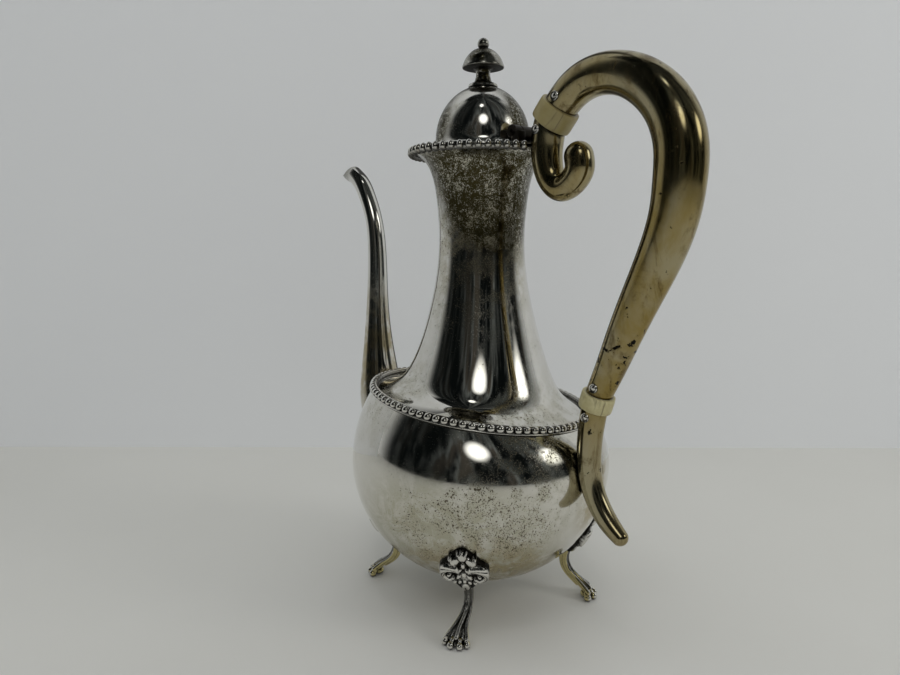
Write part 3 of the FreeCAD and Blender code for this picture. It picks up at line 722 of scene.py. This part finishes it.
def spout_stations():
    """Rows of x, z and radius from inside the ball up to the neck of the lip."""
    reach, root = 69.0, 12.2
    rise = 178.7 - SPOUT_ROOT_HEIGHT
    rows = []
    for out, up, size in (
        (0.62, 0, 0.97), (0.74, 0.012, 1), (0.84, 0.045, 0.98), (0.925, 0.105, 0.91),
        (0.972, 0.175, 0.83), (0.985, 0.242, 0.74), (0.992, 0.306, 0.645), (1, 0.438, 0.48),
        (0.998, 0.566, 0.395), (0.998, 0.694, 0.355), (1.031, 0.818, 0.32), (1.1, 0.9, 0.32),
        (1.17, 0.953, 0.32), (1.235, 0.98, 0.315),
    ):
        rows.append((-reach * out, SPOUT_ROOT_HEIGHT + rise * up, root * size))
    return rows


def make_spout(material):
    """A gooseneck tube that ends in a small scooped beak."""
    outside = tube_rings(spout_stations(), 110)
    inside = tube_rings([(x, z, radius - SHEET) for x, z, radius in spout_stations()], 110)
    beak_outside, beak_inside = [], []
    last_out, last_in = np.array(outside[-1]), np.array(inside[-1])
    lowest, highest = last_out[:, 2].min(), last_out[:, 2].max()
    for part in np.linspace(0, 1, 13)[1:]:
        for last, beak in ((last_out, beak_outside), (last_in, beak_inside)):
            ring = np.array(last)
            depth = np.clip((highest - ring[:, 2]) / (highest - lowest), 0, 1)
            ring[:, 0] -= part * (4.2 + 3.2 * depth)
            ring[:, 2] += 1.2 * (1 - depth) * sin(2.6 * part) + 4.0 * depth * part**1.6
            ring[:, 2] -= 1.6 * np.sin(pi * depth) * part**2
            ring[:, 1] *= 1 - 0.5 * part**2 * depth
            beak.append(ring)
    rings = outside + beak_outside + beak_inside[::-1] + inside[::-1]
    for ring in rings:
        ring[:, 0] = np.maximum(ring[:, 0], -SPOUT_TIP + 0.05)
    shape = Shape().add_rings(rings, wrap=True)
    make_piece("gooseneck", shape, material, "pot", "spout", sharp=50)


# ---- handle ----


def along_collar(collar, distance):
    """The x and z of a point on a collar's axis, at a distance up from its middle."""
    return collar["x"] + distance * sin(collar["lean"]), collar["z"] + distance * cos(collar["lean"])


def collar_end(collar, side):
    """The x and z of a collar's end face; side is -1 below it and 1 above."""
    return along_collar(collar, side * collar["length"] / 2)


def make_socket(name, collar, full, rows, count, replaced, material):
    """A tube from a collar's lower end to a round tip, through (across, down, size) rows."""
    stations = [(*collar_end(collar, -1), full)]
    stations += [(collar["x"] + across, collar["z"] - down, full * size) for across, down, size in rows]
    rings = tube_rings(stations, count, first_lean=collar["lean"] + pi)
    rings = round_end(rings, rings[-1].mean(0) - rings[-2].mean(0))
    make_piece(name, Shape().add_rings(rings), material, "pot", replaced)


def make_upper_socket(material):
    """Past the rim, where it curls up."""
    thin = 5.1 / UPPER_SOCKET_RADIUS
    rows = [
        (-3.6, 10.8, 0.96), (-3.0, 16.8, 0.9), (-0.9, 22.0, 0.84), (3.2, 25.0, thin * 0.95),
        (8.0, 23.2, thin * 0.97), (10.9, 18.6, thin), (10.4, 14.9, thin),
    ]
    make_socket("curled_socket", UPPER_COLLAR, UPPER_SOCKET_RADIUS, rows, 70, "upper_handle_socket", material)


def make_lower_socket(material):
    """A tapering tail that touches the ball and turns out."""
    rows = [
        (-1.9, 9.3, 0.985), (-2.5, 16.6, 0.955), (-2.3, 23.6, 0.925), (-0.9, 30.6, 0.88),
        (1.5, 35.9, 0.85), (5.2, 41.0, 0.8), (8.7, 44.4, 0.72), (11.3, 46.4, 0.64),
    ]
    make_socket("tail_socket", LOWER_COLLAR, LOWER_SOCKET_RADIUS, rows, 80, "lower_handle_socket", material)


def grip_stations():
    """Rows of x, z and radius from the upper collar over the arch to the lower collar."""
    fall = ARCH_HEIGHT - LOWER_COLLAR["z"]
    rows = [(*collar_end(UPPER_COLLAR, 1), GRIP_RADIUS * 0.755)]
    for out, up, size in (
        (0.51, 0.971, 0.785), (0.573, 0.995, 0.81), (0.712, 1, 0.84), (0.853, 0.951, 0.915),
        (0.956, 0.864, 0.975), (0.998, 0.769, 1), (1, 0.679, 0.995), (0.987, 0.589, 0.957),
        (0.951, 0.494, 0.915), (0.878, 0.365, 0.83), (0.8, 0.23, 0.735), (0.735, 0.108, 0.64),
    ):
        rows.append((ARCH_REACH * out, LOWER_COLLAR["z"] + fall * up, GRIP_RADIUS * size))
    rows.append((*collar_end(LOWER_COLLAR, 1), GRIP_RADIUS * 0.58))
    return rows


def make_grip(material):
    """The arched hollow handle, fullest at its outermost point."""
    rings = tube_rings(grip_stations(), 160, UPPER_COLLAR["lean"], LOWER_COLLAR["lean"] + pi, 64)
    shape = Shape().add_rings(rings)
    make_piece("arched_grip", shape, material, "pot", "handle_grip")


def make_collar(name, collar, replaced, material):
    """A slightly barrelled collar with eased ends that stand a little above the tubes."""
    full, half = collar["radius"], collar["length"] / 2
    profile = [
        (full * (0.94 + 0.06 * sqrt(1 - abs(part) ** 5)), half * part)
        for part in np.linspace(-1, 1, 25)
    ]
    profile[0] = (full * 0.86, -half)
    profile[-1] = (full * 0.86, half)
    lean = collar["lean"]
    rings = [tube_ring(along_collar(collar, along), lean, radius, 64) for radius, along in profile]
    shape = Shape().add_rings(rings)
    make_piece(name, shape, material, "pot", replaced)


def make_rivets(name, collar, tube_radii, replaced, material):
    """Domed rivet heads in a thin ring on both faces, beyond each end of a collar."""
    shape = Shape()
    for side, tube_radius in zip((-1, 1), tube_radii):
        x, z = along_collar(collar, side * (collar["length"] + TENON_LENGTH) / 2)
        for face in (-1, 1):
            start = face * (tube_radius - 0.6)
            lift = face * (tube_radius + 0.06)
            profile = [
                (1.66, start), (1.66, lift), (1.5, lift + face * 0.16), (1.25, lift + face * 0.12),
                (1.12, lift - face * 0.05), (1.0, lift + face * 0.16), (0.75, lift + face * 0.33),
                (0.4, lift + face * 0.42), (0.03, lift + face * 0.44),
            ]
            shape.add_rings(along_y(profile, x, z, 28))
    make_piece(name, shape, material, "pot", replaced)


# ---- legs ----

LEAF_TOP = radians(20.5)
LEAF_LENGTH = 24.0
LEAF_HALF_WIDTH = 9.6
LEAF_SHIFT = 1.0
LEAF_STEP = 0.2
LEAF_PLATE = 0.3
LEAF_SUNK = -0.9


def dome(side, down, centre, radii, turn, height):
    """An elliptic bump on the leaf: its height above the ground at each point."""
    angle = radians(turn)
    x = side - centre[0]
    y = down - centre[1]
    across = (x * cos(angle) + y * sin(angle)) / radii[0]
    along = (-x * sin(angle) + y * cos(angle)) / radii[1]
    return height * np.sqrt(np.clip(1 - across**2 - along**2, 0, None))


def leaf_relief(side, down):
    """Height of the cast leaf at a distance to the side and down from its top.

    Three lobes tipped with beads over a stack of leaflets, with a rolled volute on each side,
    on a thin ground plate; the volutes are engraved with lines round their eyes, and outside the
    plate the surface sinks under the ball.
    """
    reach = np.interp(down, (0.8, 1.6, 3.0, 5.0, 7, 9, 11.5, 15.5, 18, 20.5, 24),
                      (0.0, 1.8, 3.2, 4.9, 6.0, 8.0, 9.1, 8.8, 7.0, 4.4, 2.2))
    mirrored = np.abs(side)
    inside = np.clip((reach - mirrored) / 0.4, 0, 1)
    relief = LEAF_SUNK + (LEAF_PLATE - LEAF_SUNK) * inside

    def raise_dome(centre, radii, turn, height):
        nonlocal relief
        bump = dome(mirrored, down, centre, radii, turn, height)
        relief = np.maximum(relief, np.where(bump > 0, LEAF_PLATE + bump, relief))

    for centre, radii, turn, height in (
        ((0, 4.6), (1.8, 2.4), 0, 1.9), ((2.8, 7.2), (1.6, 2.5), -36, 1.8),
        ((0, 2.2), (0.75, 0.75), 0, 2.3), ((1.3, 2.8), (0.7, 0.7), 0, 2.1),
        ((4.2, 5.2), (0.85, 0.85), 0, 2.4), ((0, 9.4), (0.9, 1.5), 0, 1.4),
        ((1.3, 11.6), (0.7, 1.3), -35, 1.5), ((0, 14.2), (1.0, 1.7), 0, 1.6),
        ((1.9, 15.4), (0.8, 1.7), -38, 1.4), ((0, 17.8), (0.8, 1.2), 0, 1.5),
        ((1.7, 18.6), (0.8, 1.1), -20, 1.3), ((3.5, 18.7), (0.85, 0.85), 0, 1.3),
        ((0, 21.6), (1.5, 2.4), 0, 1.7), ((5.4, 15.0), (0.9, 0.8), 0, 1.5),
    ):
        raise_dome(centre, radii, turn, height)
    volute = [(1.9, 12.2, 0.9), (4.0, 10.8, 1.7), (6.3, 11.4, 1.8), (7.6, 13.7, 1.3), (7.0, 16.2, 1.0),
              (5.2, 17.2, 0.85), (3.8, 16.3, 0.7)]
    for across, along, thick in spline(volute, 26):
        raise_dome((across, along), (thick, thick), 0, 1.2 + 0.45 * thick)
    rolled = np.hypot(mirrored - 5.2, down - 14.6)
    lines = np.clip(np.cos(2 * pi * rolled / 1.3) - 0.35, 0, 1) * (rolled > 2.2)
    engraved = (mirrored > 2.6) & (down > 9.0) & (relief > LEAF_PLATE + 0.6)
    return relief - np.where(engraved, 0.7 * lines, 0)


def ball_point(angle, turn, lift):
    """A point on the ball below the equator, lifted off along the surface's normal."""
    out = BALL_RADIUS * np.cos(angle)
    height = EQUATOR - BALL_DROP * np.sin(angle)
    slope = np.arctan2(np.sin(angle) / BALL_DROP, np.cos(angle) / BALL_RADIUS)
    out = out + lift * np.cos(slope)
    height = height - lift * np.sin(slope)
    return np.stack([out * np.cos(turn), out * np.sin(turn), height], axis=-1)


def make_leaf():
    """The leaf as a thin closed shell that lies on the ball towards +X."""
    columns = int(2 * LEAF_HALF_WIDTH / LEAF_STEP)
    rows = int(LEAF_LENGTH / LEAF_STEP)
    side = np.linspace(-LEAF_HALF_WIDTH, LEAF_HALF_WIDTH, columns)
    rings, marks = [], []
    for down in np.linspace(0, LEAF_LENGTH, rows):
        angle = LEAF_TOP + down / (BALL_DROP + 1.5)
        turn = (side + LEAF_SHIFT) / (BALL_RADIUS * cos(angle))
        stand = 0.2 + 3.6 * (down / LEAF_LENGTH) ** 1.8
        relief = leaf_relief(side, np.full_like(side, down))
        bare = np.clip(1.25 - (relief - LEAF_PLATE) / 0.6, 0, 1)
        relief = np.where(relief > LEAF_SUNK, relief + stand, relief)
        angles = np.full_like(side, angle)
        front = ball_point(angles, turn, relief)
        back = ball_point(angles, turn, np.full_like(side, -0.95))
        rings.append(np.concatenate([front, back[::-1]]))
        marks.append(np.concatenate([bare, np.ones_like(side)]))
    return Shape().add_rings(rings, marks=marks)


def swept(path, count):
    """A closed tube of (x, y, z, radius) rows with rounded ends, in any direction."""
    curve = spline([(x, z, y, radius) for x, y, z, radius in path], count)
    places = curve[:, [0, 2, 1]]
    steps = np.gradient(places, axis=0)
    angles = round_angles(14)
    rings = []
    for place, step, radius in zip(places, steps, curve[:, 3]):
        forward = Vector(step).normalized()
        across = forward.cross(Vector((0, 1, 0))).normalized()
        other = forward.cross(across)
        ring = np.outer(np.cos(angles), across) + np.outer(np.sin(angles), other)
        rings.append(place + ring * radius)
    shape = Shape().add_rings(rings)
    for end in (0, -1):
        shape.add_shape(ellipsoid(places[end], (curve[end, 3],) * 3))
    return shape


def make_foot():
    """The S-shaped shank with three ridges in front, and a paw with round toes.

    The spine's rows are x, y, z, core radius and half the spread of the ridges.
    """
    spine = [
        (40.6, 1.2, 25.0, 2.1, 1.4), (38.0, 1.4, 21.4, 1.75, 1.2), (36.4, 1.6, 17.6, 1.4, 1.1),
        (36.0, 1.7, 14.0, 1.2, 1.05), (37.0, 1.4, 10.9, 1.15, 1.2), (39.4, 0.6, 8.2, 1.15, 1.6),
        (42.6, -0.5, 5.7, 1.2, 2.4), (45.6, -1.2, 3.2, 1.3, 3.9),
    ]
    shape = Shape()
    shape.add_shape(swept([row[:4] for row in spine], 50))
    calf = [(x - 1.2, y, z - 0.5, 0.95 * core) for x, y, z, core, wide in spine[:-1]]
    shape.add_shape(swept(calf, 50))
    for side in (-1, 0, 1):
        forward = 1.0 if side == 0 else 0.45
        ridge = [
            (x + forward, y + side * wide, z + forward * 0.6, 0.62 * core)
            for x, y, z, core, wide in spine
        ]
        web = [
            (x - 0.2, y + side * 0.55 * wide, z - 0.2, 0.85 * core)
            for x, y, z, core, wide in spine[2:]
        ]
        shape.add_shape(swept(ridge, 50))
        shape.add_shape(swept(web, 30))
    middle = (FOOT_REACH - 0.3, -1.2)
    for turn in (-80, -26, 20, 64):
        angle = radians(turn)
        x = middle[0] + 3.0 * cos(angle)
        y = middle[1] + 4.3 * sin(angle)
        shape.add_shape(ellipsoid((x, y, 1.5), (1.5, 1.25, 1.5)))
        shape.add_shape(ellipsoid((x - 1.4 * cos(angle), y * 0.85, 2.7), (1.4, 0.9, 1.2)))
    shape.add_shape(ellipsoid((*middle, 1.5), (2.6, 2.8, 1.5)))
    return melt(shape, 0.17, 3)


def make_legs(material):
    """Four copies of one leaf and foot, turned to their bearings."""
    foot, leaf = make_foot(), make_leaf()
    for name, bearing in LEG_BEARINGS.items():
        shape = Shape()
        for part in (foot, leaf):
            shape.add_shape(part, lambda points: turn_about(points, (0, 0, 1), radians(bearing)))
        make_piece(f"{name}_casting", shape, material, "pot", name, sharp=70)


# ---- lid ----


def make_dome(material):
    """A thimble-shaped dome on a thin flange that is cut straight behind the hinge."""
    profile = [(DOME_RADIUS * 1.055, FLANGE_HEIGHT + SHEET), (DOME_RADIUS * 1.01, DOME_HEIGHT - 1)]
    for angle in np.linspace(radians(4), DOME_END, 40):
        profile.append((DOME_RADIUS * cos(angle), DOME_HEIGHT + DOME_RISE * sin(angle)))
    curve = spline(profile, 90)
    outside = turned(curve)
    inside = turned([(radius - SHEET, height - SHEET * 0.5) for radius, height in curve[:-1]])
    angles = round_angles(SEGMENTS)
    with np.errstate(divide="ignore"):
        chord = np.where(np.cos(angles) > 0.5, FLANGE_CHORD / np.cos(angles), FLANGE_RADIUS)
    edge = np.minimum(FLANGE_RADIUS, chord)

    flange = []
    for less, lift in ((0.25, 0), (0, 0.25), (0, SHEET - 0.25), (0.25, SHEET)):
        reach = edge - less
        height = np.full(SEGMENTS, FLANGE_HEIGHT + lift)
        flange.append(np.stack([reach * np.cos(angles), reach * np.sin(angles), height], axis=1))
    crown = turned([(0.03, curve[-1][1]), (0.03, curve[-1][1] - SHEET)])
    under = turned([(curve[0][0] - SHEET, FLANGE_HEIGHT)])
    shape = Shape().add_rings(flange + outside + crown + inside[::-1] + under, wrap=True)
    make_piece("lid_shell", shape, material, "lid", "lid_dome")


def make_bezel(material):
    """The collar under the lid that drops into the mouth."""
    (_, _, low), (_, outer, high) = node_box("lid_bezel")
    ease, wall = 0.2, 1.0
    inner = outer - wall
    profile = [(inner, low + ease), (inner + ease, low), (outer - ease, low), (outer, low + ease)]
    profile += [(outer, high), (inner, high)]
    shape = Shape().add_rings(turned(profile), wrap=True)
    make_piece("lid_collar", shape, material, "lid", "lid_bezel")


def finial_profile():
    """Foot disc, pinched stem and mushroom cap, as three curves that meet in edges."""
    rise = FINIAL_TOP - DOME_TOP - FINIAL_BUTTON
    foot = [(0.03, 0), (5.3, 0), (5.6, 0.02), (5.6, 0.055), (5.3, 0.08)]
    stem = spline([(5.0, 0.09 * rise), (3.7, 0.115 * rise), (2.95, 0.21 * rise), (2.7, 0.33 * rise),
                   (3.2, 0.41 * rise), (4.3, 0.44 * rise)], 24)
    brim = [(7.4, 0.445 * rise), (7.9, 0.455 * rise), (8.0, 0.475 * rise)]
    cap = spline([(8.0, 0.49 * rise), (7.55, 0.56 * rise), (6.9, 0.65 * rise), (5.6, 0.755 * rise),
                  (3.7, 0.85 * rise), (1.8, 0.905 * rise), (1.0, 0.95 * rise)], 34)
    rows = [(radius, DOME_TOP + rise * part) for radius, part in foot]
    rows += [(radius, DOME_TOP + height) for radius, height in np.vstack([stem, brim, cap])]
    return rows


def make_finial(material):
    """The cap with a round button on top, and a stud through the dome."""
    shape = Shape().add_rings(turned(finial_profile(), 96))
    shape.add_shape(ellipsoid((0, 0, FINIAL_TOP - FINIAL_BUTTON), (FINIAL_BUTTON,) * 3, 20, 32))
    shape.add_rings(turned([(1.2, DOME_TOP - 3.8), (1.2, DOME_TOP + 1)], 32))
    make_piece("mushroom_finial", shape, material, "lid", "lid_finial")


def make_nut(material):
    """A small six-sided nut inside the dome."""
    low, high = node_box("finial_nut")
    shape = Shape().add_rings(turned(bar(high[1], low[2], high[2], 0.3, inner=1.25), 6), wrap=True)
    make_piece("finial_fixing_nut", shape, material, "lid", "finial_nut")


# ---- hinge ----


def knuckle(shape, low, high):
    """A barrel along Y between two faces, with eased ends."""
    shape.add_rings(along_y(bar(KNUCKLE_RADIUS, low, high, 0.3), HINGE_X, HINGE_Z))


def make_lid_knuckle(material):
    half = LID_KNUCKLE_WIDTH / 2
    shape = Shape()
    knuckle(shape, -half, half)
    tongue = block((DOME_RADIUS - 0.6, -half, FLANGE_HEIGHT + SHEET), (HINGE_X - 0.6, half, HINGE_Z))
    shape.add_shape(tongue)
    make_piece("lid_barrel", shape, material, "lid", "lid_hinge_knuckle")


def make_hinge_saddle(material):
    inner, outer = LID_KNUCKLE_WIDTH / 2 + KNUCKLE_GAP, HINGE_WIDTH / 2
    back = node_box("body_hinge_saddle")[1][0]
    shape = Shape()
    for low, high in ((-outer, -inner), (inner, outer)):
        knuckle(shape, low, high)
        shape.add_shape(block((HINGE_X, low, SEAT_TOP), (back, high, HINGE_Z)))
    make_piece("saddle_barrels", shape, material, "pot", "body_hinge_saddle")


def make_hinge_pin(material):
    low, high = node_box("hinge_pin")
    shape = Shape().add_rings(along_y(bar(0.8, low[1], high[1], 0.2), HINGE_X, HINGE_Z, 24))
    make_piece("pivot_pin", shape, material, "pot", "hinge_pin")


# ---- the pot ----


def make_pot():
    body = silver(
        "polished_silver", haze=0.025, wave=0.7,
        gold_tarnish_and_reflection_spots=[
            ((51, 9, 64), 5, 9, 1.0), ((49, 10, 48), 4, 12, 0.8), ((14, -12, 142), 6, 26, 0.4),
            # This broad patch low on the ball's front is partly gold tarnish, partly painted reflection of
            # the shaded table.
            ((20, -20, 18), 22, 16, 0.7),
        ],
        pepper_spots=[
            ((44, -16, 88), 10, 20, 1.0), ((44, -26, 52), 10, 22, 1.0),
            ((24, -44, 44), 10, 22, 0.9), ((8, -14, 130), 14, 20, 0.7),
            ((-12, -34, 86), 8, 18, 0.8), ((36, 16, 84), 6, 16, 0.7), ((0, -14, 172), 16, 20, 1.0),
        ],
        dull_spots=[((20, -34, 30), 26, 24, 1.0)],
        dark_spots=[
            ((12, -12, 178), 16, 20, 1.1), ((16, -6, 154), 8, 18, 1.1),
            ((-14, 12, 176), 12, 16, 0.7), ((52, 8, 64), 4, 8, 0.8),
        ],
    )
    # On the spout the gold cloud and the gold patch low down are painted warm reflection of the table.
    spout = silver(
        "spout_silver", pepper=0.2, gold=0.5,
        gold_tarnish_and_reflection_spots=[((-70, -8, 95), 10, 30, 0.8)],
        dark_spots=[((-90, 0, 179), 3, 6, 0.7)],
    )
    lid = silver(
        "lid_silver", pepper=1.25, haze=0.085, wave=0.5,
        pepper_spots=[((-13, -13, 190), 9, 9, 1.3), ((15, 8, 192), 7, 9, 1.0)],
        dark_spots=[
            ((-13, -13, 188), 9, 8, 1.1), ((15, 10, 189), 10, 7, 1.3),
            ((-7, -9, 202), 5, 6, 0.7), ((9, 4, 201), 5, 6, 0.6),
        ],
    )
    finial = silver(
        "finial_silver", pepper=0.9, gold=0.4, haze=0.05, wave=0.3, gaps=3.0,
        dull_spots=[((0, 0, 214), 10, 6, 0.3)],
        dark_spots=[((0, 0, 207.5), 4.2, 1.6, 2.2), ((3, -5, 216), 2, 4, 0.8), ((0, 0, 215), 9, 3, 0.6)],
    )
    beads = silver("beaded_silver", pepper=0.3, gold=0.7, haze=0.07, wave=0.1, gaps=1.9)
    pins = silver("pin_silver", pepper=0.2, gold=0.5, wave=0.1, gaps=0.8)
    handle = handle_silver("yellowed_silver")
    ivory = ivory_collar()
    hinge = dark_silver()
    make_bowl(body)
    make_neck(body)
    make_seat(body)
    make_shoulder_border(beads)
    make_rim_border(beads)
    make_spout(spout)
    make_upper_socket(handle)
    make_lower_socket(handle)
    make_grip(handle)
    make_collar("upper_collar", UPPER_COLLAR, "upper_insulator", ivory)
    make_collar("lower_collar", LOWER_COLLAR, "lower_insulator", ivory)
    upper_radii = (UPPER_SOCKET_RADIUS, GRIP_RADIUS * 0.785)
    lower_radii = (LOWER_SOCKET_RADIUS, GRIP_RADIUS * 0.62)
    make_rivets("upper_rivets", UPPER_COLLAR, upper_radii, "upper_insulator_rivets", pins)
    make_rivets("lower_rivets", LOWER_COLLAR, lower_radii, "lower_insulator_rivets", pins)
    make_legs(cast_silver())
    make_dome(lid)
    make_bezel(lid)
    make_finial(finial)
    make_nut(pins)
    make_lid_knuckle(hinge)
    make_hinge_saddle(hinge)
    make_hinge_pin(pins)


# ---- studio ----

CAMERA_PLACE = (0.1897, -0.1941, 0.1470)
CAMERA_PITCH = radians(8.45)
CAMERA_ROLL = radians(0.1)
VIEW_DIRECTION = Vector((-0.731, 0.682, 0.0)).normalized()
RIGHTWARD = VIEW_DIRECTION.cross(Vector((0, 0, 1)))
LENS = 27.04
WALL_DISTANCE = 0.190


def make_camera():
    """The camera at the photo's place, tipped down by its pitch."""
    data = bpy.data.cameras.new("camera")
    data.lens = LENS
    data.sensor_width = 36
    data.clip_start = 0.005
    camera = link_object("camera", data)
    heading = atan2(VIEW_DIRECTION.y, VIEW_DIRECTION.x) - pi / 2
    turn = Matrix.Rotation(heading, 4, "Z") @ Matrix.Rotation(pi / 2 - CAMERA_PITCH, 4, "X")
    turn = turn @ Matrix.Rotation(CAMERA_ROLL, 4, "Z")
    camera.matrix_world = Matrix.Translation(CAMERA_PLACE) @ turn
    bpy.context.scene.camera = camera


def table_material():
    """A pale matt table top with a trace of grain."""
    graph, place = new_material("table")
    cloud = graph.noise(place, 9, 3, 0.5)
    colour = graph.mix(cloud, rgb(0.71, 0.705, 0.66), rgb(0.76, 0.755, 0.715))
    grain = graph.noise(place, 900, 2, 0.5)
    return finish_material(graph, colour, 0.0, 0.55, grain, 0.05, 0.5 * MM)


def wall_material():
    """A pale wall that is seen from its front only and fades out at a slant.

    Reflections see a dark stripe behind the pot, so the pot's far side isn't blank.
    """
    graph, place = new_material("wall")
    incoming = graph.add("ShaderNodeNewGeometry").outputs["Incoming"]
    colour = graph.mix(graph.noise(place, 5, 3, 0.5), rgb(0.90, 0.915, 0.93), rgb(0.935, 0.95, 0.96))
    middle = graph.dot(place, tuple(RIGHTWARD))
    behind_pot = graph.spread(graph.maths("ABSOLUTE", middle), 0.025, 0.085, 0.9, 0.0)
    light_path = graph.add("ShaderNodeLightPath")
    shade = graph.times(behind_pot, light_path.outputs["Is Glossy Ray"])
    colour = graph.mix(shade, colour, rgb(0.02, 0.02, 0.02))
    shader = graph.add("ShaderNodeBsdfDiffuse", {"Color": colour})
    clear = graph.add("ShaderNodeBsdfTransparent")
    facing = graph.dot(incoming, tuple(-VIEW_DIRECTION))
    solid = graph.spread(facing, 0.55, 0.78)
    camera_ray = light_path.outputs["Is Camera Ray"]
    other = graph.spread(facing, 0.0, 0.02)
    share = graph.add("ShaderNodeMix", {0: camera_ray, 2: other, 3: solid}, data_type="FLOAT").outputs[0]
    surface = graph.add("ShaderNodeMixShader", {0: share, 1: clear.outputs[0], 2: shader.outputs[0]})
    graph.add("ShaderNodeOutputMaterial", {"Surface": surface.outputs[0]})
    return graph.material


def flat_sheet(name, corners, material):
    mesh = bpy.data.meshes.new(name)
    mesh.from_pydata([tuple(corner) for corner in corners], [], [(0, 1, 2, 3)])
    mesh.materials.append(material)
    link_object(name, mesh)


def make_stage():
    reach = 3.0
    table = [(-reach, -reach, 0), (reach, -reach, 0), (reach, reach, 0), (-reach, reach, 0)]
    flat_sheet("table", table, table_material())
    middle = VIEW_DIRECTION * WALL_DISTANCE
    left, right = middle - RIGHTWARD * 1.2, middle + RIGHTWARD * 1.2
    up = Vector((0, 0, 1.2))
    flat_sheet("wall", [left, right, right + up, left + up], wall_material())


def area_light(name, place, target, size, power, colour):
    """A soft light that reflections don't see."""
    data = bpy.data.lights.new(name, "AREA")
    data.shape = "ELLIPSE"
    data.size, data.size_y = size
    data.energy = power
    data.color = colour
    lamp = link_object(name, data)
    lamp.location = place
    lamp.rotation_euler = (target - place).to_track_quat("-Z", "Y").to_euler()
    lamp.visible_glossy = False


# Lamps: name, bearing and height angle, the glow that reflections see as its inner and outer radius
# in degrees and its strength, then the light's distance, size and power.
LAMPS = (
    ("lamp_behind_camera", (-1, 37), (1.0, 12, 2.0), 0.95, (0.19, 0.25), 0.5),
    ("window_right", (71, 27), (3.0, 12, 2.2), 0.95, (0.34, 0.25), 0.8),
    ("lamp_high", (-8, 66), (1.0, 4.5, 2.2), 1.1, (0.16, 0.06), 0.28),
)


def room_direction(bearing, height):
    """The direction at a bearing from the camera's side, rightwards, and a height angle."""
    turn, rise = radians(bearing), radians(height)
    level = -VIEW_DIRECTION * cos(turn) + RIGHTWARD * sin(turn)
    return level * cos(rise) + Vector((0, 0, sin(rise)))


def make_world():
    """A plain pale backdrop, and a room that only reflections see: dim behind the camera, pale beyond.

    Matt surfaces get an even soft light from all round.
    """
    world = bpy.data.worlds.new("room")
    bpy.context.scene.world = world
    world.use_nodes = True
    graph = Graph(world.node_tree)
    direction = graph.add("ShaderNodeTexCoord").outputs["Generated"]
    towards, rightward = [graph.dot(direction, tuple(axis)) for axis in (-VIEW_DIRECTION, RIGHTWARD)]
    bearing = graph.maths("ARCTAN2", rightward, towards)
    height = graph.height_of(direction)
    away = graph.maths("ABSOLUTE", bearing)
    side = graph.spread(away, radians(84), radians(104), 1.0, 0.0)
    ceiling = graph.spread(height, sin(radians(55)), sin(radians(66)))
    dim = graph.most(side, ceiling)
    band_place = graph.add("ShaderNodeCombineXYZ", {"X": bearing, "Y": graph.times(height, 0.35)})
    bands = graph.noise(band_place.outputs[0], 3.4, 5, 0.6)
    warm = graph.spread(graph.noise(band_place.outputs[0], 3.7, 2, 0.5), 0.52, 0.60)
    lit = graph.mix(warm, rgb(0.13, 0.14, 0.135), rgb(0.055, 0.05, 0.042))
    towards_right = graph.spread(bearing, -0.9, -0.1, 0.15, 1.0)
    lit_share = graph.times(graph.spread(bands, 0.44, 0.62), towards_right)
    shade = graph.mix(lit_share, rgb(0.003, 0.004, 0.004), lit)
    pale = graph.mix(graph.spread(bands, 0.3, 0.7), rgb(0.40, 0.41, 0.405), rgb(0.52, 0.53, 0.525))
    room = graph.mix(dim, pale, shade)
    for _, aim, (inner, outer, glow), *_ in LAMPS:
        towards = graph.dot(direction, tuple(room_direction(*aim)))
        share = graph.spread(towards, cos(radians(outer)), cos(radians(inner)))
        room = graph.mix(share, room, rgb(glow, glow, glow * 0.96))
    light_path = graph.add("ShaderNodeLightPath")
    colour = graph.mix(light_path.outputs["Is Camera Ray"], room, rgb(0.40, 0.415, 0.42))
    colour = graph.mix(light_path.outputs["Is Diffuse Ray"], colour, rgb(0.30, 0.305, 0.31))
    light = graph.add("ShaderNodeBackground", {"Color": colour, "Strength": 1.0})
    graph.add("ShaderNodeOutputWorld", {"Surface": light.outputs[0]})


def make_lights():
    """The lamps, and a wide fill from above."""
    target = Vector((0, 0, 0.09))
    for name, aim, _, distance, size, power in LAMPS:
        place = target + room_direction(*aim) * distance
        area_light(name, place, target, size, power, (1.0, 0.985, 0.96))
    area_light("fill", Vector((0.02, 0, 1.4)), target, (2.0, 2.0), 6.8, (0.97, 0.99, 1.0))


# ---- run ----

make_pot()
make_stage()
make_world()
make_lights()
make_camera()
bpy.context.scene.view_settings.view_transform = "Standard"
